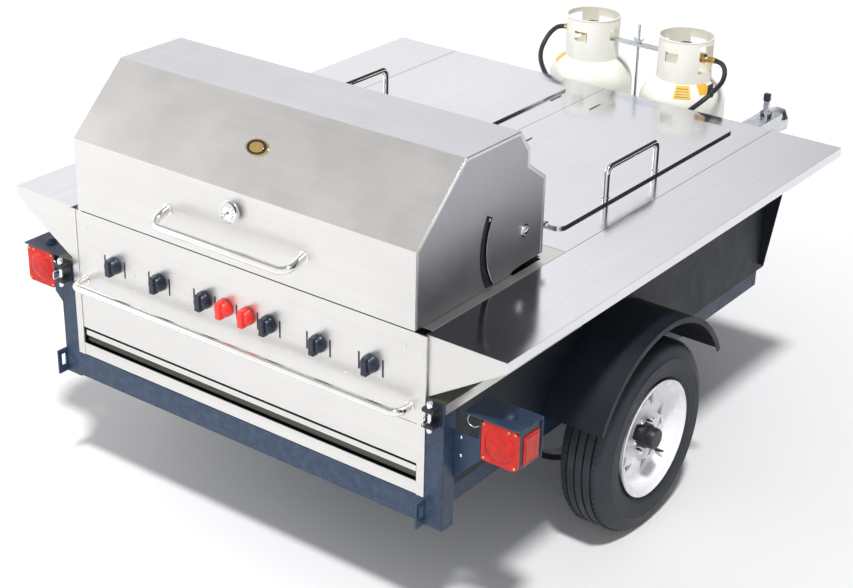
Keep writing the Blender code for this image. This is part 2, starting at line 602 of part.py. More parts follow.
def cooking_grates():
    """Three removable grates, each a frame with bars running front to back."""
    width, near, rear, low, top = 0.3960, 0.0640, 0.5840, 0.8865, 0.8985
    bars, bar = 11, 0.010
    for number, centre in enumerate((-0.4000, 0.0, 0.4000), start=1):
        left = centre - width / 2
        pitch = (width - 0.012) / bars
        slots = []
        for i in range(bars):
            start = left + 0.012 + i * pitch
            slot_low, slot_high = (start, near + 0.014, low - 0.01), (start + pitch - bar, rear - 0.014, top + 0.01)
            slots.append(block(slot_low, slot_high))
        grate = cut(block((left, near, low), (left + width, rear, top)), together(slots))
        place(f"cooking_grate_{number}", grate, "cast_iron")


def front_frame():
    """The bright corner posts and the strip below the drip tray, folded from one sheet."""
    inner, top, depth = 0.6335, 0.9250, 0.0340
    strip = block((-inner - 0.001, 0, PANEL_BOTTOM), (inner + 0.001, 0.003, SLOT_BOTTOM))
    posts = []
    for side in (-1, 1):
        posts.append(sided(side, (inner, -0.0020, PANEL_BOTTOM - 0.0005), (PANEL_HALF, 0.0035, top)))
        post_low, post_high = (PANEL_HALF - SHEET, 0.0020, PANEL_BOTTOM), (PANEL_HALF - 0.0005, depth, top - 0.001)
        posts.append(sided(side, post_low, post_high))
    place("front_frame", join(strip, *posts), "stainless")


def front_panels():
    """The knob panel with its shaft holes and bar holes, and the plain panel below it."""
    half = 0.6330
    holes = [rod((x, -0.01, KNOB_Z), (x, 0.02, KNOB_Z), 0.0055, 12) for x in BURNER_X + IGNITER_X]
    panel = block((-half, 0, PANEL_SPLIT_Z + 0.0008), (half, SHEET, 0.9250))
    place("control_panel", cut(panel, together(holes)), "stainless")
    place("lower_panel", block((-half, 0, SLOT_TOP), (half, SHEET, PANEL_SPLIT_Z - 0.0008)), "stainless")


def towel_bar():
    z, half, out, bend = 0.7050, 0.6070, -0.0560, 0.0300
    corner = arc_points((half - bend, out + bend), bend, 0, -90, 5)
    right = [(x, y, z) for x, y in corner]
    left = [(-x, y, z) for x, y in reversed(corner)]
    path = [(half, -GAP, z), *right, *left, (-half, -GAP, z)]
    place("towel_bar", sweep(path, 0.0125, 12), "polished")


def drip_tray():
    """A shallow grease tray that pulls out through the slot by its folded front lip."""
    half, near, rear, low, high = 0.6280, 0.0100, 0.6000, 0.4900, 0.5300
    shell = block((-half, near, low), (half, rear, high))
    inside = block((-half + SHEET, near + SHEET, low + SHEET), (half - SHEET, rear - SHEET, high + 0.02))
    lip = block((-half, 0.0040, 0.5120), (half, near + 0.001, high))
    place("drip_tray", join(cut(shell, inside), lip), "stainless")


def gas_line():
    """The manifold behind the knobs, its valve bodies and the pipe back under the floor to the regulator."""
    y, z, radius = 0.0300, KNOB_Z, 0.0100
    manifold = rod((-0.5200, y, z), (0.5200, y, z), radius, 10)
    valves = [block((x - 0.012, 0.0175, z - 0.014), (x + 0.012, 0.0440, z + 0.014)) for x in BURNER_X + IGNITER_X]
    feeds = [block((x - 0.005, 0.0400, 0.6950), (x + 0.005, 0.0550, 0.7050)) for x in BURNER_X]
    drops = [block((x - 0.005, 0.0360, 0.6960), (x + 0.005, 0.0430, z)) for x in BURNER_X]
    low = 0.3520
    corners = ((0.035, z - 0.004), (0.035, 0.560), (0.632, 0.560), (0.632, low), (1.943, low), (1.943, 0.7575))
    path = [(0.070, place_y, place_z) for place_y, place_z in corners]
    pipe = sweep(rounded_path(path, 0.020), 0.0070, 8)
    place("gas_line", join(manifold, *valves, *feeds, *drops, pipe), "black_steel")


def rounded_path(corners, radius):
    """The path with each corner replaced by three points of a bend."""
    points = [Vector(corner) for corner in corners]
    path = [points[0]]
    for before, corner, after in zip(points, points[1:], points[2:]):
        entry = corner + radius * (before - corner).normalized()
        leave = corner + radius * (after - corner).normalized()
        path += [entry, (entry + leave + 2 * corner) / 4, leave]
    return path + [points[-1]]


def hood():
    """The roll-back hood: a folded shell on two side plates, slotted for the stop pins."""
    bottom, pivot = DECK_Z + 0.0015, (HOOD_PIVOT_Y, HOOD_PIVOT_Z)
    outline = [(0, bottom), (0.4240, bottom), (0.4330, 0.9360), (0.4470, 0.9398), (0.4880, 0.9425)]
    outline += [(0.5836, 0.9447), (0.5836, 1.1743), (0.5000, 1.2330), (0.4990, 1.2781), (0.4509, 1.3417)]
    outline += [(0.2018, 1.3417), (0, 1.1503)]
    inner = [(0.0020, 0.80), (0.5816, 0.80), (0.5816, 1.1733), (0.4980, 1.2320), (0.4970, 1.2772)]
    inner += [(0.4498, 1.3397), (0.2026, 1.3397), (0.0020, 1.1495)]
    shell = extrude(outline, "X", -GRILL_HALF, GRILL_HALF)
    hollow = extrude(inner, "X", -GRILL_HALF + SHEET, GRILL_HALF - SHEET)
    narrow, wide = HOOD_SLOT_RADIUS - HOOD_SLOT_HALF, HOOD_SLOT_RADIUS + HOOD_SLOT_HALF
    slot = ring_sector(pivot, narrow, wide, HOOD_SLOT_TOP, HOOD_SLOT_FOOT, 12)
    slots = [extrude(slot, "X", x - 0.01, x + 0.01) for x in (-GRILL_HALF, GRILL_HALF)]
    bore = [rod((x - 0.01, *pivot), (x + 0.01, *pivot), 0.0075, 12) for x in (-GRILL_HALF, GRILL_HALF)]
    probe = rod((0, -0.01, 1.0950), (0, 0.02, 1.0950), 0.0050, 12)
    place("hood", cut(shell, hollow, together(slots), together(bore), probe), "stainless", (0, *pivot))


def hood_fittings():
    """The bent-tube handle, the thermometer and the badge."""
    pivot = (0, HOOD_PIVOT_Y, HOOD_PIVOT_Z)
    half, out, bend, foot_z, bar_z = 0.2500, -0.0710, 0.0360, 1.0300, 1.0080
    corner = arc_points((half - bend, out + bend), bend, 0, -90, 6)
    right = [(x, y, foot_z + (bar_z - foot_z) * y / out) for x, y in corner]
    left = [(-x, y, z) for x, y, z in reversed(right)]
    path = [(half, -GAP - 0.0055, foot_z), *right, *left, (-half, -GAP - 0.0055, foot_z)]
    feet = [rod((x, -GAP, foot_z), (x, -0.0100, foot_z), 0.0127, 12) for x in (-half, half)]
    place("hood_handle", join(sweep(path, 0.0125, 12), *feet), "polished", pivot)
    dial = ((0, 0.060), (0.0035, 0.060), (0.0035, -GAP), (0.0290, -GAP), (0.0320, -0.004), (0.0320, -0.021))
    dial += ((0.0290, -0.024), (0.0260, -0.024), (0.0260, -0.021), (0, -0.021))
    place("thermometer", turn(dial, "Y", (0, 0, 1.0950), 24), "chrome", pivot)
    slope = math.atan2(1.3417 - 1.1503, 0.2018)
    badge = extrude(arc_points((0, 0), 1.0, 0, 337.5, 15), "Z", 0.0004, 0.0030)
    bmesh.ops.scale(badge, vec=(0.040, 0.026, 1), verts=badge.verts)
    bmesh.ops.rotate(badge, matrix=Matrix.Rotation(slope, 3, "X"), verts=badge.verts)
    bmesh.ops.translate(badge, vec=(0, 0.1010, 1.1503 + 0.1010 * math.tan(slope)), verts=badge.verts)
    place("badge_plate", badge, "gold", pivot)


def knobs():
    """Eight knobs: a round skirt, a raised grip bar and a short shaft through the panel."""
    named = [(f"burner_knob_{i}", x, "black_plastic") for i, x in enumerate(BURNER_X, start=1)]
    named += [(f"igniter_knob_{i}", x, "red_plastic") for i, x in enumerate(IGNITER_X, start=1)]
    for name, x, look in named:
        base = -0.0012
        skirt = ((0, 0.0165), (0.0045, 0.0165), (0.0045, base), (0.0270, base), (0.0255, -0.011), (0, -0.011))
        grip = extrude(rounded((x - 0.0105, KNOB_Z - 0.0265), (x + 0.0105, KNOB_Z + 0.0265), 0.006, 2),
                       "Y", -0.0360, -0.0100)
        place(name, join(turn(skirt, "Y", (x, 0, KNOB_Z), 20), grip), look, (x, 0, KNOB_Z))


# ---- Fuel tanks ----


def tanks():
    """Steel cylinders, hollow with an open valve neck, each with its foot ring and guard collar."""
    r, z, wall = TANK_RADIUS, TANK_Z, 0.003
    foot = [(0, z + 0.033), (0.0965, z + 0.033), (0.0965, z)]
    outer = [(0.100, z), (0.103, z + 0.030), (0.130, z + 0.045), (0.149, z + 0.075), (r, z + 0.110)]
    outer += [(r, z + 0.210), (0.149, z + 0.244), (0.137, z + 0.272), (0.112, z + 0.296), (0.075, z + 0.311)]
    outer += [(0.016, z + 0.318)]
    inner = [(0.016 - wall, z + 0.318 - wall), (0.074, z + 0.308), (0.110, z + 0.293), (0.134, z + 0.270)]
    inner += [(0.146, z + 0.243), (r - wall, z + 0.210), (r - wall, z + 0.110), (0.146, z + 0.076)]
    inner += [(0.128, z + 0.048), (0.096, z + 0.037), (0, z + 0.036)]
    centre = (TANK_X, TANK_Y, 0)
    shell = turn(foot + outer + inner, "Z", centre, 24)
    collar_r, low, high = 0.0970, z + 0.292, 1.1080
    collar = [(collar_r, low), (collar_r, high), (collar_r + 0.003, high + 0.003), (collar_r - 0.002, high + 0.003)]
    collar += [(collar_r - 0.003, low)]
    ring = turn(collar, "Z", centre, 24)
    windows = [
        block((TANK_X - 0.15, TANK_Y - 0.032, 1.0295), (TANK_X, TANK_Y + 0.032, 1.0750)),
        block((TANK_X - 0.032, TANK_Y, 1.0295), (TANK_X + 0.032, TANK_Y + 0.15, 1.0750)),
        block((TANK_X - 0.030, TANK_Y - 0.15, 1.0295), (TANK_X + 0.020, TANK_Y, 1.0650)),
        block((TANK_X, TANK_Y - 0.050, 0.9950), (TANK_X + 0.15, TANK_Y + 0.050, 1.0920)),
    ]
    place_pair("fuel_tank", join(cut(ring, *windows), shell), "tank_cream")
    stem = turn(((0, 0.965), (0.0120, 0.965), (0.0120, 0.990), (0.0160, 0.990), (0.0160, 1.056), (0.006, 1.058),
                 (0.006, 1.066), (0, 1.066)), "Z", centre, 12)
    outlet = turn(((0, TANK_X), (0.0110, TANK_X), (0.0110, 0.2600), (0.0160, 0.2600), (0.0160, 0.2780),
                   (0.0100, 0.2840), (0.0100, 0.2917), (0, 0.2917)), "X", (0, TANK_Y, 1.0400), 12)
    place_pair("tank_valve", join(stem, outlet), "brass")
    wheel = turn(((0, 1.0665), (0.024, 1.0665), (0.029, 1.0700), (0.029, 1.0770), (0.024, 1.0800), (0, 1.0800)),
                 "Z", centre, 24)
    notches = []
    for i in range(8):
        angle = 2 * math.pi * i / 8
        x, y = TANK_X + 0.031 * math.cos(angle), TANK_Y + 0.031 * math.sin(angle)
        notches.append(rod((x, y, 1.05), (x, y, 1.09), 0.0055, 8))
    place_pair("valve_handwheel", cut(wheel, together(notches)), "black_plastic", (TANK_X, TANK_Y, 1.0730))


def tank_carrier():
    """The tray on its pedestal, and the rod and clamp bar that hold the tanks down on it."""
    half, near, rear = 0.3650, 1.9700, 2.3000
    tray = block((-half, near, TRAY_Z - 0.003), (half, rear, TRAY_Z))
    rims = [
        block((-half, near, TRAY_Z - 0.003), (half, near + 0.003, TRAY_Z + 0.020)),
        block((-half, rear - 0.003, TRAY_Z - 0.003), (half, rear, TRAY_Z + 0.020)),
        block((-half, near, TRAY_Z - 0.003), (-half + 0.003, rear, TRAY_Z + 0.020)),
        block((half - 0.003, near, TRAY_Z - 0.003), (half, rear, TRAY_Z + 0.020)),
    ]
    pedestal = box_tube((-0.0300, 2.0800, RAIL_TOP - 0.0017), (0.0300, 2.1800, TRAY_Z - 0.002), 2)
    place("tank_tray", join(tray, *rims, pedestal), "frame_blue")
    bar_low = 1.0303
    channel = block((-0.1280, TANK_Y - 0.0125, bar_low), (0.1280, TANK_Y + 0.0125, bar_low + 0.0100))
    stud = rod((0, TANK_Y, TRAY_Z + GAP), (0, TANK_Y, 1.1080), 0.0048, 10)
    place("hold_down", join(channel, stud), "zinc")
    nut = turn(((0.0056, 1.0408), (0.0110, 1.0408), (0.0090, 1.0520), (0.0056, 1.0520)), "Z", (0, TANK_Y, 0), 16)
    wings = [((x * 0.008, 1.0425), (x * 0.020, 1.0560), (x * 0.016, 1.0600), (x * 0.007, 1.0500)) for x in (-1, 1)]
    blades = [extrude(wing, "Y", TANK_Y - 0.0020, TANK_Y + 0.0020) for wing in wings]
    place("wing_nut", join(nut, *blades), "zinc", (0, TANK_Y, 1.0460))


def regulator():
    """The two-inlet regulator on the front wall of the body, over the gas pipe's end."""
    body = turn(((0, 1.9005), (0.018, 1.9005), (0.018, 1.9150), (0.045, 1.9180), (0.045, 1.9400),
                 (0.030, 1.9540), (0, 1.9560)), "Y", (0.020, 0, 0.8080), 16)
    inlets = rod((-0.0682, 1.9330, 0.8080), (0.0682, 1.9330, 0.8080), 0.0100, 12)
    inlets_out = block((0.0550, 1.9200, 0.7980), (0.0682, 1.9560, 0.8180))
    inlets_out_left = block((-0.0682, 1.9200, 0.7980), (-0.0550, 1.9560, 0.8180))
    outlet = block((0.0600, 1.9340, 0.7580), (0.0800, 1.9520, 0.7700))
    neck = block((0.0300, 1.9300, 0.7640), (0.0780, 1.9450, 0.7760))
    place("regulator", join(body, inlets, inlets_out, inlets_out_left, neck, outlet), "zinc")


def hose(name, route, radius, look):
    """A free hose: a round curve through the route's points, with flat caps."""
    curve = bpy.data.curves.new(name, "CURVE")
    curve.dimensions = "3D"
    curve.bevel_depth = radius
    curve.bevel_resolution = 2
    curve.use_fill_caps = True
    path = smooth_path(route, 2)
    spline = curve.splines.new("POLY")
    spline.points.add(len(path) - 1)
    for point, position in zip(spline.points, path):
        point.co = (*position, 1.0)
    curve.materials.append(MATERIALS[look])
    part = bpy.data.objects.new(name, curve)
    part.parent = TRAILER
    bpy.context.scene.collection.objects.link(part)


# ---- Hitch ----


def coupler():
    """The coupler's sleeve over the tongue, its socket nose and the hinge ears of the latch."""
    half, top = TONGUE_HALF + 0.0035, RAIL_TOP + 0.0050
    sleeve = block((-half, 3.0400, RAIL_BOTTOM + 0.004), (half, 3.3180, top))
    inner = TONGUE_HALF + GAP
    channel = block((-inner, 3.0300, RAIL_BOTTOM - 0.01), (inner, 3.2000, RAIL_TOP - 0.001))
    hollow = block((-inner + 0.006, 3.1900, RAIL_BOTTOM - 0.01), (inner - 0.006, 3.2900, RAIL_TOP - 0.005))
    nose = ((0, 0.4380), (0.0200, 0.4300), (0.0300, 0.4050), (0.0300, 0.3700), (0.0500, 0.3700))
    nose += ((0.0500, 0.4150), (0.0370, 0.4450), (0, 0.4600))
    ears = [block((x - 0.0025, 3.2200, top - 0.002), (x + 0.0025, 3.2640, 0.4720)) for x in (-0.0160, 0.0160)]
    pin_y, pin_z = COUPLER_LATCH_Y, COUPLER_LATCH_Z
    pin_hole = rod((-0.03, pin_y, pin_z), (0.03, pin_y, pin_z), 0.0046, 10)
    socket = turn(nose, "Z", (0, 3.3500, 0), 20)
    place("coupler", cut(join(cut(sleeve, channel, hollow), socket, *ears), pin_hole), "zinc")
    pin = rod((-0.0210, pin_y, pin_z), (0.0210, pin_y, pin_z), 0.0040, 10)
    lever = block((-0.0120, pin_y - 0.0060, pin_z - 0.007), (0.0120, pin_y + 0.0060, 0.5200))
    grip = block((-0.0140, pin_y - 0.0085, 0.5150), (0.0140, pin_y + 0.0085, 0.5480))
    place("coupler_latch", join(lever, pin, grip), "zinc", (0, pin_y, pin_z))


def tongue_leg():
    """The support leg: a square tube on a round foot, sliding in the frame's sleeve."""
    outer, clearance = 0.0250, 0.0006
    right = -TONGUE_HALF + 0.001 - TUBE_WALL - clearance
    left = LEG_X - 0.0315 + TUBE_WALL + clearance
    middle = (left + right) / 2
    leg = block((left, LEG_Y - outer, 0.0050), (right, LEG_Y + outer, 0.5200))
    foot = extrude(arc_points((middle, LEG_Y), 0.0650, 0, 337.5, 15), "Z", 0, 0.0060)
    bore = block((left + 0.003, LEG_Y - outer + 0.003, 0.0100), (right - 0.003, LEG_Y + outer - 0.003, 0.60))
    place("tongue_leg", cut(join(leg, foot), bore), "zinc", (middle, LEG_Y, 0.4000))


clear_scene()
MATERIALS = make_materials()
TRAILER = bpy.data.objects.new("trailer_origin", None)
TRAILER.location = (0, TRAILER_BACK, 0)
bpy.context.scene.collection.objects.link(TRAILER)

chassis_frame()
axle()
fenders()
wheels()
tail_lamps()
latch_bails()
storage_body()
deck_panels()
lids()
shelves()
grill_body()
firebox()
burners()
cooking_grates()
front_frame()
front_panels()
towel_bar()
drip_tray()
gas_line()
hood()
hood_fittings()
knobs()
tanks()
tank_carrier()
regulator()
hose("hose_right", HOSE_RIGHT, HOSE_RADIUS, "hose_rubber")
hose("hose_left", HOSE_LEFT, HOSE_RADIUS, "hose_rubber")
coupler()
tongue_leg()
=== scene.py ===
"""Looks for the gas grill trailer: sheet metal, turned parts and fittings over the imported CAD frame."""

import json
import math

import bmesh
import bpy
import numpy as np
from mathutils import Matrix, Vector

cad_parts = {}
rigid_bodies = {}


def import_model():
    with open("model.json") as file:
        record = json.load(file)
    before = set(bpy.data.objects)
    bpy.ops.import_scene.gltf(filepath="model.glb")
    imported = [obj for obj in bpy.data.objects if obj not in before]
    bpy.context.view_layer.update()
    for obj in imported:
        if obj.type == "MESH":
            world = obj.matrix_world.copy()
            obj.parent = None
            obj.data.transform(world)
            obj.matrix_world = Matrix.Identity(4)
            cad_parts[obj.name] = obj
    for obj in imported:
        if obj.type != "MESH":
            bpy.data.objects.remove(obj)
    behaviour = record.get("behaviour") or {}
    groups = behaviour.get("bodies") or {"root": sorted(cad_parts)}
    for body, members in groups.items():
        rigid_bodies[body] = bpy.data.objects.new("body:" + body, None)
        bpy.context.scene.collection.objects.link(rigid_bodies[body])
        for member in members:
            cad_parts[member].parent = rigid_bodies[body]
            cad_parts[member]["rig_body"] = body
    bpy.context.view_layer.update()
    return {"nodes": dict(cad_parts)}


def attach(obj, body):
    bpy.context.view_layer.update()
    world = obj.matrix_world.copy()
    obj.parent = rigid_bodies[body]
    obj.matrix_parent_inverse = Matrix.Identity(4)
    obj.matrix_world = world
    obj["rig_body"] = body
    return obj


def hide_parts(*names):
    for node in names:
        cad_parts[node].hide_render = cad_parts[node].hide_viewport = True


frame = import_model()

# Places are written with Y measured from the knob panel, as in the part's source; BACK is the panel's own Y.
BACK = -1.6582
GRILL_HALF, DECK_Z = 0.6195, 0.9269
HOOD_PIVOT = (0, 0.489, 1.043)
DIAL_Z = 1.095
AXLE_Y, AXLE_Z = 0.8705, 0.302
WHEEL_X = 0.79
WHEEL_CENTRE = (WHEEL_X, AXLE_Y, AXLE_Z)
TANK_X, TANK_Y, TANK_Z = 0.192, 2.13, 0.663
KNOB_Z = 0.79
BURNER_X = (-0.478, -0.298, -0.12, 0.12, 0.298, 0.478)
IGNITER_X = (-0.0415, 0.0415)
SIDES = (("left", -1), ("right", 1))


def put(name, data):
    """A new object in the scene."""
    thing = bpy.data.objects.new(name, data)
    bpy.context.scene.collection.objects.link(thing)
    return thing


# ---- Camera and hoses ----


def make_camera():
    yaw, pitch, roll = math.radians(36.49), math.radians(25.96), math.radians(1.196)
    right = Vector((math.cos(yaw), math.sin(yaw), 0))
    ahead = Vector((-math.sin(yaw) * math.cos(pitch), math.cos(yaw) * math.cos(pitch), -math.sin(pitch)))
    up = right.cross(ahead)
    across = right * math.cos(roll) + up * math.sin(roll)
    above = up * math.cos(roll) - right * math.sin(roll)
    data = bpy.data.cameras.new("camera")
    data.sensor_width = 36
    data.lens = 74.6
    camera = put("camera", data)
    camera.matrix_world = Matrix.Translation((3.029, -3.211 + BACK, 2.99)) @ Matrix(
        ((across.x, above.x, -ahead.x, 0), (across.y, above.y, -ahead.y, 0), (across.z, above.z, -ahead.z, 0),
         (0, 0, 0, 1))
    )
    bpy.context.scene.camera = camera


HOSES = {
    "right": (
        (0.292, 2.13, 1.04), (0.318, 2.129, 1.04), (0.343, 2.124, 1.034), (0.362, 2.108, 1.017),
        (0.372, 2.08, 0.996), (0.374, 2.045, 0.982), (0.371, 2.008, 0.97), (0.359, 1.974, 0.95),
        (0.333, 1.953, 0.922), (0.296, 1.944, 0.886), (0.25, 1.941, 0.853), (0.196, 1.941, 0.828),
        (0.142, 1.943, 0.813), (0.1, 1.945, 0.808), (0.0685, 1.945, 0.808),
    ),
    "left": (
        (-0.292, 2.13, 1.04), (-0.318, 2.129, 1.039), (-0.344, 2.124, 1.031), (-0.361, 2.106, 1.01),
        (-0.366, 2.08, 0.984), (-0.357, 2.044, 0.96), (-0.332, 2.005, 0.94), (-0.298, 1.972, 0.921),
        (-0.262, 1.953, 0.896), (-0.226, 1.944, 0.865), (-0.186, 1.942, 0.837), (-0.142, 1.943, 0.817),
        (-0.1, 1.945, 0.808), (-0.0685, 1.945, 0.808),
    ),
}
HOSE_RADIUS = 0.0085


def smooth_path(points, per_span):
    """Points on a Catmull-Rom curve through the given ones."""
    known = [Vector(point) for point in points]
    known = [2 * known[0] - known[1]] + known + [2 * known[-1] - known[-2]]
    path = []
    for before, start, end, after in zip(known, known[1:], known[2:], known[3:]):
        for step in range(per_span):
            t = step / per_span
            straight = 2 * start + (end - before) * t
            square = (2 * before - 5 * start + 4 * end - after) * t * t
            cube = (3 * start - before - 3 * end + after) * t ** 3
            path.append((straight + square + cube) / 2)
    return path + [known[-2]]


def make_hoses():
    hoses = {}
    for name, route in HOSES.items():
        path = [Vector((p.x, p.y + BACK, p.z)) for p in smooth_path(route, 3)]
        curve = bpy.data.curves.new(f"hose_{name}_skin", "CURVE")
        curve.dimensions = "3D"
        curve.bevel_depth = HOSE_RADIUS
        curve.bevel_resolution = 5
        curve.use_fill_caps = True
        spline = curve.splines.new("POLY")
        spline.points.add(len(path) - 1)
        for point, place in zip(spline.points, path):
            point.co = (*place, 1)
        hose = put(f"hose_{name}_skin", curve)
        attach(hose, "trailer")
        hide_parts(f"hose_{name}")
        hoses[name] = hose
    return hoses


# ---- Materials ----


class Nodes:
    """A short way to wire a material's node tree."""

    def __init__(self, name):
        self.material = bpy.data.materials.new(name)
        self.material.use_nodes = True
        self.tree = self.material.node_tree
        self.shader = self.tree.nodes["Principled BSDF"]
        self.place = self.node("ShaderNodeTexCoord").outputs["Object"]

    def node(self, kind, **values):
        made = self.tree.nodes.new(kind)
        for key, value in values.items():
            setattr(made, key, value)
        return made

    def link(self, output, node, socket):
        self.tree.links.new(output, node.inputs[socket])

    def feed(self, output, socket):
        self.link(output, self.shader, socket)

    def give(self, socket, value):
        self.shader.inputs[socket].default_value = value

    def noise(self, scale, detail=3.0, roughness=0.5, stretch=(1, 1, 1)):
        mapping = self.node("ShaderNodeMapping")
        mapping.inputs["Scale"].default_value = stretch
        self.link(self.place, mapping, "Vector")
        noise = self.node("ShaderNodeTexNoise")
        noise.inputs["Scale"].default_value = scale
        noise.inputs["Detail"].default_value = detail
        noise.inputs["Roughness"].default_value = roughness
        self.link(mapping.outputs["Vector"], noise, "Vector")
        return noise.outputs["Fac"]

    def spread(self, value, low, high, start=0.3, end=0.7):
        """The value's middle range turned into low to high."""
        scaled = self.node("ShaderNodeMapRange")
        scaled.inputs["From Min"].default_value = start
        scaled.inputs["From Max"].default_value = end
        scaled.inputs["To Min"].default_value = low
        scaled.inputs["To Max"].default_value = high
        self.link(value, scaled, "Value")
        return scaled.outputs["Result"]

    def mix(self, factor, first, second):
        """Two colours, or sockets that carry colours, mixed by the factor."""
        mixed = self.node("ShaderNodeMix", data_type="RGBA")
        self.link(factor, mixed, 0)
        for index, value in ((6, first), (7, second)):
            if isinstance(value, (tuple, list)):
                mixed.inputs[index].default_value = (*value, 1)
            else:
                self.tree.links.new(value, mixed.inputs[index])
        return mixed.outputs[2]

    def bump(self, height, strength, distance=0.001, under=None):
        bump = self.node("ShaderNodeBump")
        bump.inputs["Strength"].default_value = strength
        bump.inputs["Distance"].default_value = distance
        self.link(height, bump, "Height")
        if under is not None:
            self.link(under, bump, "Normal")
        self.link(bump.outputs["Normal"], self.shader, "Normal")
        return bump.outputs["Normal"]

    def edges(self, low, high):
        """1 on convex edges, 0 on flats, from the mesh's pointiness."""
        pointiness = self.node("ShaderNodeNewGeometry").outputs["Pointiness"]
        return self.spread(pointiness, 0, 1, low, high)


def shade(colour, amount):
    return tuple(max(0.0, min(1.0, c * amount)) for c in colour)


def brushed(name, colour, roughness, along, metallic=1.0, tint=0.05, cloud=1.4):
    """Sheet metal with a fine grain along one axis, faint handling marks and slow changes of tone."""
    nodes = Nodes(name)
    stretch = tuple(0.02 if axis == along else 1.0 for axis in "XYZ")
    grain = nodes.noise(900, 2.0, 0.6, stretch)
    broad = nodes.noise(60, 3.0, 0.6, stretch)
    clouds = nodes.noise(cloud, 3.0, 0.5)
    tone = nodes.mix(nodes.spread(clouds, 0, 1), shade(colour, 1 - tint), shade(colour, 1 + tint))
    toned = nodes.mix(nodes.spread(broad, 0, 0.28), tone, shade(colour, 0.86))
    nodes.feed(toned, "Base Color")
    marks = nodes.spread(nodes.noise(7, 6.0, 0.65), roughness - 0.05, roughness + 0.07, 0.25, 0.75)
    nodes.feed(marks, "Roughness")
    nodes.give("Metallic", metallic)
    nodes.bump(grain, 0.1, 0.0004, nodes.bump(broad, 0.05, 0.0006))
    return nodes.material


def smooth_metal(name, colour, roughness, tint=0.04):
    """Polished, plated or cast metal: even, with faint smears in its gloss."""
    nodes = Nodes(name)
    smears = nodes.noise(26, 5.0, 0.6)
    tone = nodes.mix(nodes.spread(smears, 0, 1), shade(colour, 1 - tint), shade(colour, 1 + tint))
    nodes.feed(tone, "Base Color")
    gloss = nodes.spread(nodes.noise(90, 3.0, 0.5), roughness * 0.7, roughness * 1.4)
    nodes.feed(gloss, "Roughness")
    nodes.give("Metallic", 1.0)
    nodes.bump(nodes.noise(400, 2.0), 0.04, 0.0002)
    return nodes.material


def painted(name, colour, roughness, worn, texture=420, relief=0.08, coat=0.0):
    """Paint or powder coat over steel: orange peel, slow changes of tone and rubbed edges."""
    nodes = Nodes(name)
    clouds = nodes.noise(3.0, 4.0, 0.55)
    tone = nodes.mix(nodes.spread(clouds, 0, 1), shade(colour, 0.97), shade(colour, 1.03))
    edge = nodes.edges(0.53, 0.6)
    broken = nodes.node("ShaderNodeMath", operation="MULTIPLY")
    nodes.link(edge, broken, 0)
    nodes.link(nodes.spread(nodes.noise(35, 5.0, 0.7), 0, 0.7, 0.45, 0.6), broken, 1)
    nodes.feed(nodes.mix(broken.outputs["Value"], tone, worn), "Base Color")
    gloss = nodes.spread(nodes.noise(14, 5.0, 0.6), roughness - 0.05, roughness + 0.08)
    nodes.feed(gloss, "Roughness")
    nodes.give("Coat Weight", coat)
    nodes.give("Coat Roughness", 0.12)
    nodes.bump(nodes.noise(texture, 2.0), relief, 0.0003)
    return nodes.material


def moulded(name, colour, roughness, relief=0.1, scale=900):
    """Moulded plastic or rubber: a fine even texture and a slightly dusty surface."""
    nodes = Nodes(name)
    dust = nodes.noise(18, 5.0, 0.6)
    dusty = tuple(min(1.0, c * 1.25 + 0.012) for c in colour)
    nodes.feed(nodes.mix(nodes.spread(dust, 0, 0.8), colour, dusty), "Base Color")
    nodes.feed(nodes.spread(dust, roughness - 0.04, roughness + 0.1), "Roughness")
    nodes.bump(nodes.noise(scale, 2.0), relief, 0.0002)
    return nodes.material


def lens_plastic(name, colour):
    """A clear coloured lens, glossy, with the ribs that are moulded inside it."""
    nodes = Nodes(name)
    deep = nodes.noise(40, 4.0, 0.6)
    tone = nodes.mix(nodes.spread(deep, 0, 1), shade(colour, 0.75), shade(colour, 1.15))
    nodes.feed(tone, "Base Color")
    nodes.feed(nodes.spread(deep, 0.08, 0.18), "Roughness")
    nodes.give("Specular IOR Level", 0.25)
    nodes.give("Coat Weight", 0.1)
    nodes.give("Coat Roughness", 0.05)
    ribs = nodes.node("ShaderNodeTexWave", wave_type="RINGS", rings_direction="SPHERICAL")
    ribs.inputs["Scale"].default_value = 60
    nodes.link(nodes.place, ribs, "Vector")
    nodes.bump(ribs.outputs["Fac"], 0.15, 0.0004)
    return nodes.material


def tyre_material():
    """Tyre rubber with fine scuffing and dust."""
    nodes = Nodes("tyre_rubber_look")
    base = (0.014, 0.018, 0.026)
    dust = nodes.noise(22, 6.0, 0.65)
    nodes.feed(nodes.mix(nodes.spread(dust, 0, 0.8), base, (0.03, 0.036, 0.048)), "Base Color")
    nodes.feed(nodes.spread(dust, 0.52, 0.7), "Roughness")
    nodes.bump(nodes.noise(700, 2.0), 0.2, 0.0003)
    return nodes.material


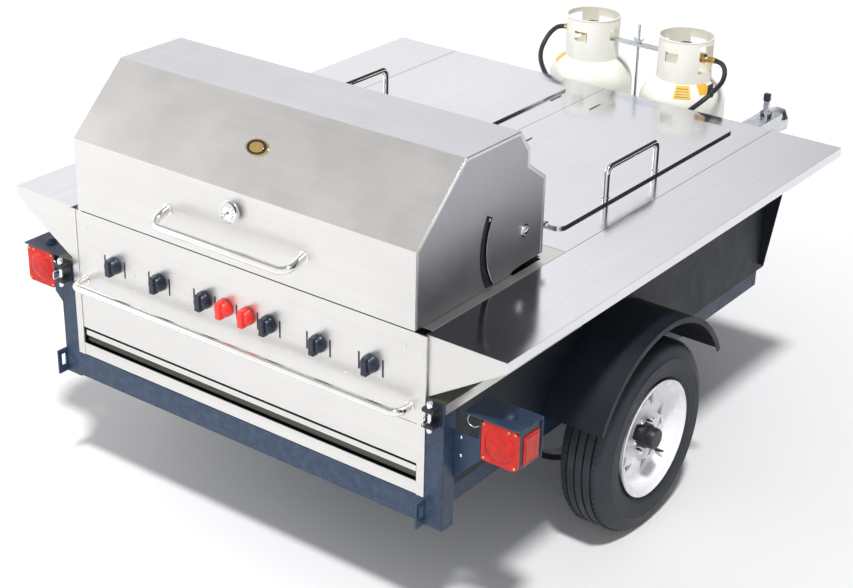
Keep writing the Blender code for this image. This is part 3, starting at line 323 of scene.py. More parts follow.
LOOKS = {
    "front_steel": brushed("front_steel", (0.76, 0.75, 0.73), 0.34, "X", 0.93),
    # The side, slope and top steels are copies of the front steel, darkened as painted shade for hood faces
    # turned from the light
    "side_steel_painted_shade": brushed("side_steel_painted_shade", (0.46, 0.46, 0.49), 0.38, "Z", 0.97, 0.06),
    "slope_steel_painted_shade": brushed("slope_steel_painted_shade", (0.72, 0.7, 0.68), 0.34, "X", 0.9),
    "top_steel_painted_shade": brushed("top_steel_painted_shade", (0.66, 0.65, 0.68), 0.26, "X", 0.95),
    "deck_steel": brushed("deck_steel", (0.77, 0.77, 0.81), 0.12, "Y", 1.0, 0.06, 0.9),
    # Near-black stainless: painted shade for the ledges in the shelves' shadow
    "ledge_steel_painted_shade": brushed("ledge_steel_painted_shade", (0.15, 0.15, 0.11), 0.42, "Y", 0.85),
    # Dark olive stainless: painted shade for the drip tray's recessed lower front
    "tray_steel_painted_shade": brushed("tray_steel_painted_shade", (0.1, 0.1, 0.075), 0.45, "X", 0.8, 0.15),
    "inner_steel": brushed("inner_steel", (0.42, 0.4, 0.37), 0.4, "X", 0.9, 0.15),
    "polished": smooth_metal("polished", (0.88, 0.87, 0.85), 0.1),
    "chrome": smooth_metal("chrome_look", (0.86, 0.87, 0.89), 0.07),
    "zinc": smooth_metal("zinc_look", (0.62, 0.65, 0.68), 0.26, 0.1),
    "brass": smooth_metal("brass_look", (0.66, 0.45, 0.17), 0.26, 0.12),
    "gold": smooth_metal("gold_look", (0.8, 0.55, 0.18), 0.2, 0.06),
    "navy": painted("navy_paint", (0.016, 0.036, 0.078), 0.46, (0.035, 0.07, 0.125), coat=0.04),
    # Near-black navy: painted shade for the fenders and the tub's sides in the shelves' shadow
    "navy_painted_shade": painted("navy_painted_shade", (0.005, 0.009, 0.018), 0.55, (0.012, 0.02, 0.036)),
    "black_paint": painted("black_paint", (0.008, 0.01, 0.016), 0.42, (0.05, 0.05, 0.06)),
    "white_enamel": painted("white_enamel", (0.86, 0.86, 0.88), 0.26, (0.7, 0.7, 0.7), coat=0.4),
    "cream_paint": painted("cream_paint", (0.93, 0.92, 0.84), 0.3, (0.8, 0.72, 0.56), 300, 0.12, 0.2),
    "yellow_label": painted("yellow_label", (0.86, 0.5, 0.055), 0.4, (0.8, 0.45, 0.05), 700, 0.03),
    "label_ink": painted("label_ink", (0.3, 0.16, 0.03), 0.45, (0.3, 0.16, 0.03), 700, 0.02),
    "black_plastic": moulded("black_plastic_look", (0.01, 0.016, 0.034), 0.24),
    "red_plastic": moulded("red_plastic_look", (0.82, 0.035, 0.022), 0.3),
    "grey_plastic": moulded("grey_plastic", (0.035, 0.037, 0.042), 0.45),
    "hose": moulded("hose_look", (0.01, 0.012, 0.018), 0.42, 0.25, 500),
    "tyre": tyre_material(),
    "lamp_red": lens_plastic("lamp_red_look", (0.6, 0.018, 0.012)),
    "iron": painted("iron_look", (0.03, 0.03, 0.032), 0.6, (0.09, 0.09, 0.09), 200, 0.3),
    "ink": moulded("ink_look", (0.012, 0.012, 0.012), 0.5),
}


# ---- Shapes, drawn with Y from the knob panel ----


def block(low, high):
    shape = bmesh.new()
    size = Vector(high) - Vector(low)
    centre = (Vector(high) + Vector(low)) / 2
    bmesh.ops.create_cube(shape, size=1.0, matrix=Matrix.Translation(centre) @ Matrix.Diagonal((*size, 1.0)))
    return shape


def extrude(outline, along, start, end):
    """A prism. The outline holds (Y, Z) for X, (X, Z) for Y and (X, Y) for Z."""
    order = {
        "X": lambda a, b, c: (c, a, b),
        "Y": lambda a, b, c: (a, c, b),
        "Z": lambda a, b, c: (a, b, c),
    }[along]
    shape = bmesh.new()
    near = [shape.verts.new(order(a, b, start)) for a, b in outline]
    far = [shape.verts.new(order(a, b, end)) for a, b in outline]
    shape.faces.new(near)
    shape.faces.new(far)
    for i in range(len(outline)):
        j = (i + 1) % len(outline)
        shape.faces.new((near[i], near[j], far[j], far[i]))
    bmesh.ops.recalc_face_normals(shape, faces=shape.faces)
    return shape


def turn(profile, axis, centre, steps=64):
    """A turned solid from (radius, place along the axis) points; a radius of 0 is a point on the axis."""
    turned = {
        "X": lambda r, h, c, s: (h, r * c, r * s),
        "Y": lambda r, h, c, s: (r * c, h, r * s),
        "Z": lambda r, h, c, s: (r * c, r * s, h),
    }[axis]
    shape = bmesh.new()
    rings = []
    for radius, height in profile:
        ring = []
        for step in range(1 if radius == 0 else steps):
            angle = 2 * math.pi * step / steps
            place = turned(radius, height, math.cos(angle), math.sin(angle))
            ring.append(shape.verts.new(Vector(centre) + Vector(place)))
        rings.append(ring)
    pairs = list(zip(rings, rings[1:]))
    if profile[0][0] != 0 or profile[-1][0] != 0:
        pairs.append((rings[-1], rings[0]))
    for first, second in pairs:
        for step in range(steps):
            after = (step + 1) % steps
            corners = [first[step % len(first)], first[after % len(first)], second[after % len(second)]]
            corners.append(second[step % len(second)])
            distinct = list(dict.fromkeys(corners))
            if len(distinct) > 2:
                shape.faces.new(distinct)
    bmesh.ops.recalc_face_normals(shape, faces=shape.faces)
    return shape


def sweep(path, radius, sides=20):
    """A round tube with flat ends along a path of points."""
    points = [Vector(point) for point in path]
    radii = radius if isinstance(radius, (list, tuple)) else [radius] * len(points)
    shape = bmesh.new()
    side = (points[1] - points[0]).normalized().orthogonal().normalized()
    rings = []
    for i, point in enumerate(points):
        ahead = (points[min(i + 1, len(points) - 1)] - points[max(i - 1, 0)]).normalized()
        side = (side - side.dot(ahead) * ahead).normalized()
        other = ahead.cross(side)
        ring = []
        for step in range(sides):
            angle = 2 * math.pi * step / sides
            outward = math.cos(angle) * side + math.sin(angle) * other
            ring.append(shape.verts.new(point + radii[i] * outward))
        rings.append(ring)
    for first, second in zip(rings, rings[1:]):
        for step in range(sides):
            after = (step + 1) % sides
            shape.faces.new((first[step], first[after], second[after], second[step]))
    shape.faces.new(rings[0])
    shape.faces.new(rings[-1])
    bmesh.ops.recalc_face_normals(shape, faces=shape.faces)
    return shape


def around(centre, radius, angle):
    """The point at a radius and an angle in radians from a centre."""
    return centre[0] + radius * math.cos(angle), centre[1] + radius * math.sin(angle)


def arc_points(centre, radius, start, end, steps):
    """Points on an arc between two angles in degrees."""
    angles = [math.radians(start + (end - start) * i / steps) for i in range(steps + 1)]
    return [around(centre, radius, angle) for angle in angles]


def rounded(low, high, radius, steps=6):
    """The outline of a rectangle with rounded corners."""
    (x0, y0), (x1, y1) = low, high
    corners = ((x1, y1, 0), (x0, y1, 90), (x0, y0, 180), (x1, y0, 270))
    points = []
    for x, y, start in corners:
        centre = (x - math.copysign(radius, x - (x0 + x1) / 2), y - math.copysign(radius, y - (y0 + y1) / 2))
        points += arc_points(centre, radius, start, start + 90, steps)
    return points


def merged(*shapes):
    whole = bmesh.new()
    for shape in shapes:
        mesh = bpy.data.meshes.new("part")
        shape.to_mesh(mesh)
        whole.from_mesh(mesh)
        bpy.data.meshes.remove(mesh)
        shape.free()
    return whole


def rotate(shape, angle, axis):
    bmesh.ops.rotate(shape, matrix=Matrix.Rotation(angle, 3, axis), verts=shape.verts)


def shift(shape, by):
    bmesh.ops.translate(shape, vec=by, verts=shape.verts)


def side_shape(sign, shape):
    """The shape as it is for the right side, mirrored for the left."""
    if sign < 0:
        bmesh.ops.scale(shape, vec=(-1, 1, 1), verts=shape.verts)
        bmesh.ops.reverse_faces(shape, faces=shape.faces)
    return shape


# ---- Pieces ----


def soften(thing, width, segments=2, angle=38):
    bevel = thing.modifiers.new("edges", "BEVEL")
    bevel.width = width
    bevel.segments = segments
    bevel.limit_method = "ANGLE"
    bevel.angle_limit = math.radians(angle)
    bevel.use_clamp_overlap = True
    bevel.harden_normals = False


def mesh_from(shape, name):
    mesh = bpy.data.meshes.new(name)
    shape.to_mesh(mesh)
    shape.free()
    return mesh


def finish_mesh(mesh, angle=40):
    mesh.shade_smooth()
    mesh.set_sharp_from_angle(angle=math.radians(angle))


def add(name, shape, look, body, stands_for=(), edge=0.0, angle=40, segments=2):
    """A new piece, drawn with Y from the knob panel, that rides a body."""
    shift(shape, (0, BACK, 0))
    mesh = mesh_from(shape, name)
    finish_mesh(mesh, angle)
    mesh.materials.append(LOOKS[look])
    thing = put(name, mesh)
    if edge:
        soften(thing, edge, segments)
    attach(thing, body)
    if stands_for:
        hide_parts(*stands_for)
    return thing


def refine(node, looks, edge=0.0006, choose=None, slot=None, segments=2):
    """A copy of a CAD node with its flat faces joined up and its edges softened, which stands for it."""
    source = frame["nodes"][node]
    shape = bmesh.new()
    shape.from_mesh(source.data)
    bmesh.ops.remove_doubles(shape, verts=shape.verts, dist=1e-5)
    bmesh.ops.dissolve_limit(shape, angle_limit=math.radians(0.6), verts=shape.verts, edges=shape.edges)
    mesh = mesh_from(shape, f"{node}_skin")
    finish_mesh(mesh)
    for look in looks:
        mesh.materials.append(LOOKS[look])
    if choose:
        for face in mesh.polygons:
            face.material_index = choose(face.normal, face.center)
    thing = put(f"{node}_skin", mesh)
    if edge:
        soften(thing, edge, segments)
    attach(thing, source["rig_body"])
    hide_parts(node)
    return thing


def cut_away(thing, shape):
    """Cuts the shape, drawn with Y from the knob panel, out of a piece."""
    shift(shape, (0, BACK, 0))
    cutter = put("cutter", mesh_from(shape, "cutter"))
    modifier = thing.modifiers.new("cut", "BOOLEAN")
    modifier.operation = "DIFFERENCE"
    modifier.object = cutter
    thing.modifiers.move(len(thing.modifiers) - 1, 0)
    graph = bpy.context.evaluated_depsgraph_get()
    edges = [m for m in thing.modifiers if m.type == "BEVEL"]
    for bevel in edges:
        bevel.show_viewport = False
    graph.update()
    result = bpy.data.meshes.new_from_object(thing.evaluated_get(graph), depsgraph=graph)
    thing.modifiers.remove(modifier)
    thing.data = result
    finish_mesh(result)
    for bevel in edges:
        bevel.show_viewport = True
    bpy.data.objects.remove(cutter, do_unlink=True)


def screw(x, y, z, radius):
    """A domed screw head that faces the front."""
    tall = -0.55 * radius
    profile = ((0, 0), (radius, 0), (radius * 0.96, tall * 0.35), (radius * 0.72, tall * 0.78),
               (radius * 0.36, tall), (0, tall * 1.02))
    return turn(profile, "Y", (x, y, z), 16)


def hex_nut(centre, radius, start, end, turned=0.0):
    points = [around(centre, radius, turned + i * math.pi / 3) for i in range(6)]
    return extrude(points, "X", start, end)


# ---- Frame, body and deck ----


def sheet_metal():
    navy = {"slot": "frame_blue"}
    refine("chassis_frame", ["navy"], 0.0012, **navy)
    # The tub's sides behind the grill take the darker navy as painted shade
    refine("storage_body", ["navy", "navy_painted_shade"], 0.0006, storage_look, **navy)
    refine("tank_tray", ["navy"], 0.0006, **navy)
    refine("axle", ["black_paint"], 0.001, slot="black_steel")
    refine("gas_line", ["black_paint"], 0.0005, slot="black_steel")
    for side, _ in SIDES:
        # The fenders are all in the darker navy, painted shade for the shelf's shadow
        refine(f"fender_{side}", ["navy_painted_shade"], 0.0006, **navy)
        refine(f"tail_lamp_bracket_{side}", ["navy"], 0.0008, **navy)
        refine(f"deck_panel_{side}", ["deck_steel"], 0.0007, slot="stainless")
        refine(f"shelf_{side}", ["deck_steel", "front_steel", "black_paint"], 0.0006, shelf_look, "stainless")
    steel = {"slot": "stainless"}
    refine("grill_body", ["front_steel", "ledge_steel_painted_shade", "black_paint"], 0.0006, grill_body_look, **steel)
    refine("firebox", ["inner_steel"], 0.0, **steel)
    refine("front_frame", ["front_steel"], 0.0007, **steel)
    refine("lower_panel", ["front_steel"], 0.0006, **steel)
    refine("control_panel", ["front_steel"], 0.0006, **steel)
    refine("drip_tray", ["tray_steel_painted_shade", "front_steel"], 0.0006, tray_look, **steel)
    refine("burners", ["iron"], 0.0, slot="cast_iron")
    for number in (1, 2, 3):
        refine(f"cooking_grate_{number}", ["iron"], 0.0012, slot="cast_iron")
    refine("hold_down", ["zinc"], 0.0006, slot="zinc")
    refine("regulator", ["zinc"], 0.0008, slot="zinc")
    refine("tongue_leg", ["zinc"], 0.001, slot="zinc")


def storage_look(normal, centre):
    """The tub's sides behind the grill in the darker navy, a painted shade for the shadow under the shelves.
    """
    return int(abs(normal.x) > 0.8 and centre.y - BACK > 0.66)


def tray_look(_, centre):
    """The tray's upper front in the plain front steel, the rest, the recessed lower front among it, in a dark
    olive painted shade.
    """
    # Everything but the upper front takes the dark painted shade
    return int(centre.y - BACK < 0.0105 and centre.z > 0.511)


def grill_body_look(normal, centre):
    """The ledges in a near-black painted shade for the shadow under the shelves, with the outer lip in the
    plain front steel, and the ears behind the hood's slots black.
    """
    if centre.z > DECK_Z + 0.003 and abs(centre.x) < GRILL_HALF:
        return 2
    # Ledge faces take the near-black painted shade
    on_ledge = centre.z < 0.76 and abs(centre.x) > 0.652
    return int(on_ledge and abs(normal.x) < 0.8)


def shelf_look(_, centre):
    """The lip at the grill bright, and the bracket at the far end black as painted shade for its side in
    shadow.
    """
    local_y = centre.y - BACK
    # The far bracket in black: painted shade for its shadowed side
    if centre.z < 0.893 and local_y > 1.5:
        return 2
    if local_y < 0.0125 and abs(centre.x) < 0.9012:
        return 1
    return 0


# ---- Hood and front ----


def hood_look(normal, centre):
    """Which of the hood's stainless copies a face takes, by where it is and which way it faces: the sides,
    top and slope take copies darker than the front, painted shade for faces turned from the light.
    """
    inside = centre.z < 1.336 and abs(centre.x) < 0.6174 and 0.003 < centre.y - BACK < 0.5815
    if inside and (abs(normal.x) > 0.9 or normal.z < 0.1) and not normal.y < -0.5:
        return 4
    if abs(normal.x) > 0.8:
        return 1
    if normal.z > 0.95:
        return 3
    return 2 if normal.z > 0.4 and normal.y < 0 else 0


def hood_parts():
    # The hood's faces take lit and shaded copies of the stainless by which way they point: painted shade on
    # the sides, top and slope
    painted_shade_finishes = ["front_steel", "side_steel_painted_shade", "slope_steel_painted_shade", "top_steel_painted_shade", "inner_steel"]
    refine("hood", painted_shade_finishes, 0.0011, hood_look, "stainless", 3)
    for side, sign in SIDES:
        hood_side(side, sign)
    half, foot_z, bar_z = 0.25, 1.03, 1.008
    foot = ((0, -0.0004), (0.017, -0.0004), (0.0168, -0.003), (0.013, -0.005), (0, -0.005))
    lead = [(half, -0.018, foot_z - 0.004)]
    handle = bent_bar(half, -0.071, 0.036, (foot_z, bar_z), lead, 0.0123, 28, foot)
    add("hood_handle_skin", handle, "polished", "hood", ("hood_handle",))
    thermometer()
    badge()


def hood_side(side, sign):
    """The folded hem round a side plate, coloured in the brighter front steel as a painted highlight along
    the side's edges, its pivot bolt and the rubbing bumper behind it.
    """
    rim = [(0.003, 0.93), (0.003, 1.1492), (0.203, 1.3387), (0.4495, 1.3387), (0.496, 1.2771),
           (0.4972, 1.2316), (0.5806, 1.1728), (0.5806, 0.948)]
    inner = [(0.011, 0.93), (0.011, 1.1457), (0.2062, 1.3307), (0.4455, 1.3307), (0.488, 1.2746),
             (0.489, 1.2272), (0.5726, 1.1686), (0.5726, 0.948)]
    strips = []
    for (a, b), (c, d) in zip(zip(rim, rim[1:]), zip(inner, inner[1:])):
        strips.append(extrude([a, b, d, c], "X", GRILL_HALF - 0.0002, GRILL_HALF + 0.0012))
    hem = merged(*strips)
    bmesh.ops.remove_doubles(hem, verts=hem.verts, dist=1e-6)
    doubled = [f for f in hem.faces if all(not e.is_boundary and len(e.link_faces) > 2 for e in f.edges)]
    bmesh.ops.delete(hem, geom=doubled, context="FACES")
    # The hem is real, but its brighter steel than the side plate is a painted highlight
    add(f"hood_hem_{side}", side_shape(sign, hem), "front_steel", "hood", edge=0.0004)
    washer = ((0.0065, 0.6199), (0.019, 0.6199), (0.019, 0.6212), (0.0065, 0.6212))
    bolt = ((0, 0.6205), (0.0125, 0.6205), (0.0128, 0.6225), (0.0112, 0.6262), (0.007, 0.6285), (0, 0.6292))
    cap = merged(turn(washer, "X", HOOD_PIVOT, 48), turn(bolt, "X", HOOD_PIVOT, 32))
    add(f"pivot_cap_{side}", side_shape(sign, cap), "chrome", "trailer")
    stub = ((0, 0.5832), (0.0085, 0.5832), (0.0085, 0.59), (0.006, 0.5925), (0.006, 0.606),
            (0.01, 0.608), (0.0098, 0.613), (0.006, 0.616), (0, 0.6165))
    bumper = turn(stub, "Y", (0.608, 0, 1.018), 28)
    add(f"hood_bumper_{side}", side_shape(sign, bumper), "chrome", "hood")


def bent_bar(half, out, bend, heights, lead, radius, sides, foot):
    """A bar bent out from two round feet on a panel. Heights are those of its feet and of its middle."""
    foot_z, bar_z = heights
    corner = arc_points((half - bend, out + bend), bend, 0, -90, 12)
    right = [(half, -0.0006, foot_z), *lead]
    right += [(x, y, foot_z + (bar_z - foot_z) * y / out) for x, y in corner]
    left = [(-x, y, z) for x, y, z in reversed(right)]
    feet = [turn(foot, "Y", (x, 0, foot_z), 32) for x in (-half, half)]
    return merged(sweep(right + left, radius, sides), *feet)


def thermometer():
    """A bezel with a pale dial, eleven plain ticks and a needle."""
    middle = (0, 0, DIAL_Z)
    bezel = ((0, 0.002), (0.015, 0.002), (0.015, -0.006), (0.029, -0.008), (0.032, -0.011),
             (0.032, -0.02), (0.03, -0.0235), (0.027, -0.024), (0.0262, -0.0215), (0, -0.0215))
    add("thermometer_skin", turn(bezel, "Y", middle, 64), "chrome", "hood", ("thermometer",))
    face = turn(((0, -0.0216), (0.0258, -0.0216), (0.0258, -0.0221), (0, -0.0221)), "Y", middle, 48)
    add("thermometer_face", face, "white_enamel", "hood")
    marks = []
    for i in range(11):
        marks.append(on_dial(block((0.0175, -0.0225, -0.0006), (0.0235, -0.022, 0.0006)), 225 - 27 * i))
    marks.append(on_dial(block((-0.004, -0.023, -0.0008), (0.017, -0.0224, 0.0008)), 215))
    pin = ((0, -0.0222), (0.003, -0.0222), (0.0026, -0.024), (0, -0.0242))
    marks.append(turn(pin, "Y", middle, 16))
    add("thermometer_marks", merged(*marks), "ink", "hood")


def on_dial(mark, angle):
    """A mark drawn along X, turned to its angle in degrees and set on the dial."""
    rotate(mark, -math.radians(angle), "Y")
    shift(mark, (0, 0, DIAL_Z))
    return mark


def badge():
    """A plain oval plate with a raised rim on the hood's slope."""
    foot, top, depth, middle = 1.1503, 1.3417, 0.2018, 0.101
    slope = math.atan2(top - foot, depth)
    centre = (0, middle, foot + middle * math.tan(slope))

    def oval(scale, low, high):
        shape = extrude(arc_points((0, 0), 1.0, 0, 360 - 360 / 64, 63), "Z", low, high)
        bmesh.ops.scale(shape, vec=(0.04 * scale, 0.026 * scale, 1), verts=shape.verts)
        rotate(shape, slope, "X")
        shift(shape, centre)
        return shape

    add("badge_rim", oval(1.0, 0.0004, 0.0026), "gold", "hood", ("badge_plate",), 0.0006)
    add("badge_field", oval(0.86, 0.001, 0.0031), "black_plastic", "hood", edge=0.0004)
    add("badge_centre", oval(0.6, 0.0014, 0.0036), "gold", "hood", edge=0.0005)


def knob(x, look, name):
    """A knob's skirt, domed body and finger grip."""
    profile = ((0, -0.0012), (0.0266, -0.0012), (0.027, -0.003), (0.0266, -0.01), (0.024, -0.0145),
               (0.0215, -0.024), (0.019, -0.027), (0, -0.0278))
    body = turn(profile, "Y", (x, 0, KNOB_Z), 56)
    side = [(-0.0102, -0.0265), (0.0102, -0.0265), (0.0082, 0.0258), (-0.0082, 0.0258)]
    grip = extrude([(x + a, KNOB_Z + b) for a, b in side], "Y", -0.0359, -0.012)
    add(f"{name}_body", body, look, name, (name,), angle=50)
    add(f"{name}_grip", grip, look, name, edge=0.0034, segments=4)


def front_parts():
    for kind, look, places in (("burner", "black_plastic", BURNER_X), ("igniter", "red_plastic", IGNITER_X)):
        for number, x in enumerate(places, start=1):
            knob(x, look, f"{kind}_knob_{number}")
    ticks = []
    for x in BURNER_X:
        for offset in (-0.042, 0.039):
            ticks.append(block((x + offset - 0.0026, -0.0006, 0.759), (x + offset + 0.0026, 0.0002, 0.811)))
    ticks.append(block((-0.0024, -0.0006, 0.77), (0.0024, 0.0002, 0.811)))
    add("panel_marks", merged(*ticks), "ink", "trailer")
    # Black strips down each post's front corner: painted shade for the dark line along the corner
    corner_shade_strips = [block((x - 0.0011, -0.0004, 0.364), (x + 0.0011, 0.0002, 0.69)) for x in (-0.7182, 0.7182)]
    add("post_corner_painted_shade", merged(*corner_shade_strips), "black_paint", "trailer")
    screws = []
    for x in (-0.3996, -0.202, 0.195, 0.3915):
        for z in (0.7795, 0.731):
            screws.append(screw(x, 0.0, z, 0.0042))
    for x in (-0.592, 0.59):
        screws.append(screw(x, 0.0, 0.8785, 0.004))
    add("panel_screws", merged(*screws), "polished", "trailer")
    foot = ((0, -0.0004), (0.016, -0.0004), (0.0157, -0.003), (0.0128, -0.0045), (0, -0.0045))
    bar = bent_bar(0.607, -0.056, 0.03, (0.705, 0.705), [], 0.0122, 24, foot)
    add("towel_bar_skin", bar, "polished", "trailer", ("towel_bar",))


def lid(side, sign):
    """A raised lid with a bent-tube handle, and the knuckles of its hinges on the deck."""
    body, top = f"lid_{side}", DECK_Z + 0.008
    outer = rounded((0.092, 0.774), (0.559, 1.825), 0.03, 10)
    inner = rounded((0.094, 0.776), (0.557, 1.823), 0.028, 10)
    plate = side_shape(sign, extrude(outer, "Z", DECK_Z + 0.0003, top))
    skin = add(f"lid_{side}_skin", plate, "deck_steel", body, (body,), 0.0016, segments=3)
    cut_away(skin, side_shape(sign, extrude(inner, "Z", DECK_Z - 0.01, DECK_Z + 0.006)))
    x, start, end, rise, bend = 0.535, 1.054, 1.345, 0.095, 0.024
    corners = arc_points((start + bend, top + rise - bend), bend, 180, 90, 10)
    corners += arc_points((end - bend, top + rise - bend), bend, 90, 0, 10)
    path = [(x, start, top - 0.0005), *[(x, y, z) for y, z in corners], (x, end, top - 0.0005)]
    foot = ((0, -0.0004), (0.014, -0.0004), (0.0136, 0.0016), (0.0094, 0.003), (0, 0.003))
    handle = merged(sweep(path, 0.0102, 24), *[turn(foot, "Z", (x, y, top), 32) for y in (start, end)])
    add(f"lid_handle_{side}", side_shape(sign, handle), "polished", body)
    hinge_x, hinge_z, half = 0.0798, DECK_Z + 0.0036, 0.035
    hinges = []
    for y in (0.88, 1.3, 1.72):
        hinges.append(sweep([(hinge_x, y - half, hinge_z), (hinge_x, y + half, hinge_z)], 0.0032, 16))
    add(f"lid_hinges_{side}", side_shape(sign, merged(*hinges)), "deck_steel", "trailer")


# ---- Wheels and lamps ----


def tyre(side, sign):
    """The carcass with its grooves and side ribs, and the fine cuts across the tread."""
    body = f"wheel_{side}"
    half = [
        (0.18, 0.064), (0.185, 0.066), (0.19, 0.07), (0.2, 0.077), (0.206, 0.0786),
        (0.2075, 0.08), (0.2095, 0.08), (0.211, 0.0794), (0.223, 0.0828), (0.236, 0.0846),
        (0.248, 0.0842), (0.2495, 0.085), (0.2515, 0.085), (0.253, 0.0836), (0.268, 0.079),
        (0.28, 0.0735), (0.288, 0.068), (0.294, 0.06), (0.2985, 0.05), (0.3, 0.044),
        (0.293, 0.0425), (0.293, 0.0385), (0.3008, 0.037), (0.3016, 0.017), (0.294, 0.0155),
        (0.294, 0.0115), (0.3019, 0.01),
    ]
    profile = half + [(r, -a) for r, a in reversed(half)] + [(0.17, -0.06), (0.17, 0.06)]
    carcass = side_shape(sign, turn(profile, "X", WHEEL_CENTRE, 160))
    add(f"tyre_{side}_skin", carcass, "tyre", body, (f"tyre_{side}",), angle=35)
    cuts = []
    rows = ((0.027, 0.0085, 0.5), (-0.027, 0.0085, -0.5), (0.0495, 0.006, 0.2), (-0.0495, 0.006, -0.2))
    for i in range(90):
        for across, length, lean in rows:
            nib = block((across - length, -0.0009, 0.299), (across + length, 0.0009, 0.3012))
            rotate(nib, lean, "Z")
            rotate(nib, 2 * math.pi * i / 90, "X")
            shift(nib, WHEEL_CENTRE)
            cuts.append(nib)
    sipes = merged(*cuts)
    about_axle = Matrix.Translation((0, -AXLE_Y, -AXLE_Z))
    bmesh.ops.scale(sipes, vec=(1, 1.0012, 1.0012), space=about_axle, verts=sipes.verts)
    add(f"tyre_{side}_sipes", side_shape(sign, sipes), "ink", body)


def rim(side, sign):
    """The dished steel wheel, cut with five pairs of three-cornered hand holes."""
    face = 0.0813
    profile = (
        (0.1846, face), (0.185, face - 0.002), (0.1846, face - 0.005), (0.17, face - 0.013),
        (0.169, -0.06), (0.176, -0.0805), (0.17, -0.081), (0.16, -0.06), (0.16, 0.006),
        (0.154, 0.014), (0.09, 0.025), (0.07, 0.02), (0.04, 0.02), (0.04, 0.026),
        (0.068, 0.026), (0.076, 0.0285), (0.086, 0.0335), (0.1, 0.0345), (0.138, 0.029),
        (0.15, 0.0285), (0.156, 0.033), (0.161, 0.048), (0.166, 0.062), (0.172, 0.07),
        (0.179, face - 0.006), (0.1815, face - 0.001),
    )
    disc = side_shape(sign, turn(profile, "X", WHEEL_CENTRE, 128))
    name = f"rim_{side}"
    skin = add(f"{name}_skin", disc, "white_enamel", f"wheel_{side}", (name,), angle=30)
    holes = []
    for i in range(10):
        odd = i % 2
        angle = math.radians(42 + 72 * (i // 2) + (24 if odd else -24))
        middle = around((AXLE_Y, AXLE_Z), 0.112, angle)
        tilt = angle + (0.5 if odd else -0.5) + math.pi
        points = []
        for corner in range(3):
            a = tilt + corner * 2 * math.pi / 3
            turned = math.degrees(a)
            points += arc_points(around(middle, 0.0165, a), 0.0035, turned - 60, turned + 60, 5)
        holes.append(extrude(points, "X", WHEEL_X - 0.02, WHEEL_X + 0.06))
    cut_away(skin, side_shape(sign, merged(*holes)))


def wheel(side, sign):
    body = f"wheel_{side}"
    tyre(side, sign)
    rim(side, sign)
    nuts = []
    dome = ((0, 0.0398), (0.0088, 0.0398), (0.008, 0.045), (0.005, 0.0485), (0, 0.0495))
    for i in range(5):
        angle = math.radians(38 + 72 * i)
        y, z = around((AXLE_Y, AXLE_Z), 0.0545, angle)
        nuts.append(hex_nut((y, z), 0.0105, WHEEL_X + 0.0262, WHEEL_X + 0.04, angle))
        nuts.append(turn(dome, "X", (WHEEL_X, y, z), 20))
    add(f"lug_nuts_{side}", side_shape(sign, merged(*nuts)), "chrome", body, edge=0.0006)
    hub = (
        (0, 0.87), (0.0165, 0.87), (0.0165, 0.7), (0.045, 0.7), (0.045, 0.79), (0.064, 0.8),
        (0.064, 0.8095), (0.0395, 0.8095), (0.0395, 0.828), (0.038, 0.83), (0.038, 0.848),
        (0.035, 0.85), (0.035, 0.853), (0.0335, 0.8545), (0.033, 0.872), (0.03, 0.877), (0, 0.878),
    )
    hub_shape = turn(hub, "X", (0, AXLE_Y, AXLE_Z), 64)
    add(f"hub_{side}", side_shape(sign, hub_shape), "black_paint", body)
    angle = math.radians(-45)
    start = Vector((WHEEL_X + 0.029, *around((AXLE_Y, AXLE_Z), 0.148, angle)))
    lean = Vector((0.03, -0.012 * math.cos(angle), -0.012 * math.sin(angle)))
    path = [start + lean * share for share in (0, 0.6, 0.62, 1)]
    stem = sweep(path, [0.0058, 0.0046, 0.004, 0.0038], 16)
    add(f"valve_stem_{side}", side_shape(sign, stem), "hose", body)


def tail_lamp(side, sign):
    """The lamp's box, its rear lens with a round bowl, the side marker, screws and the bracket's bolts."""
    body = "trailer"
    box = side_shape(sign, extrude(rounded((0.8035, 0.5965), (0.9195, 0.7172), 0.006), "Y", 0.0572, 0.1475))
    add(f"lamp_box_{side}", box, "grey_plastic", body, (f"tail_lamp_{side}",), 0.0015)
    plate = extrude(rounded((0.804, 0.597), (0.919, 0.7152), 0.012), "Y", 0.0462, 0.057)
    cx, cz = 0.8612, 0.656
    bowl = ((0, 0.0405), (0.02, 0.0406), (0.038, 0.0418), (0.043, 0.044), (0.044, 0.0452),
            (0.0456, 0.044), (0.0475, 0.0438), (0.049, 0.0452), (0.0492, 0.05), (0, 0.05))
    lens = merged(plate, turn(bowl, "Y", (cx, 0, cz), 72))
    add(f"lens_{side}", side_shape(sign, lens), "lamp_red", body, edge=0.0012)
    bulb = ((0, 0.0398), (0.005, 0.0399), (0.012, 0.0403), (0.012, 0.0407), (0, 0.0407))
    centre = side_shape(sign, turn(bulb, "Y", (cx - 0.006, 0, cz + 0.004), 32))
    add(f"lens_centre_{side}", centre, "lamp_red", body)
    marker = merged(
        extrude(rounded((0.07, 0.608), (0.14, 0.693), 0.006), "X", 0.9193, 0.9235),
        extrude(rounded((0.076, 0.615), (0.134, 0.686), 0.005), "X", 0.923, 0.9252),
    )
    add(f"side_marker_{side}", side_shape(sign, marker), "lamp_red", body, edge=0.001)
    places = ((0.813, 0.706), (0.91, 0.706), (0.813, 0.606), (0.91, 0.606), (0.89, 0.706))
    screws = merged(*[screw(x, 0.0462, z, 0.0042) for x, z in places])
    add(f"lens_screws_{side}", side_shape(sign, screws), "brass", body)
    wire = smooth_path([(0.765, 0.05, 0.7175), (0.7625, 0.044, 0.704), (0.77, 0.042, 0.692),
                        (0.786, 0.043, 0.688), (0.799, 0.044, 0.696)], 6)
    add(f"lamp_wire_{side}", side_shape(sign, sweep(wire, 0.0014, 10)), "zinc", body)
    bolts = merged(*[screw(0.742, 0.0455, z, 0.0055) for z in (0.64, 0.585)])
    add(f"bracket_bolts_{side}", side_shape(sign, bolts), "zinc", body)


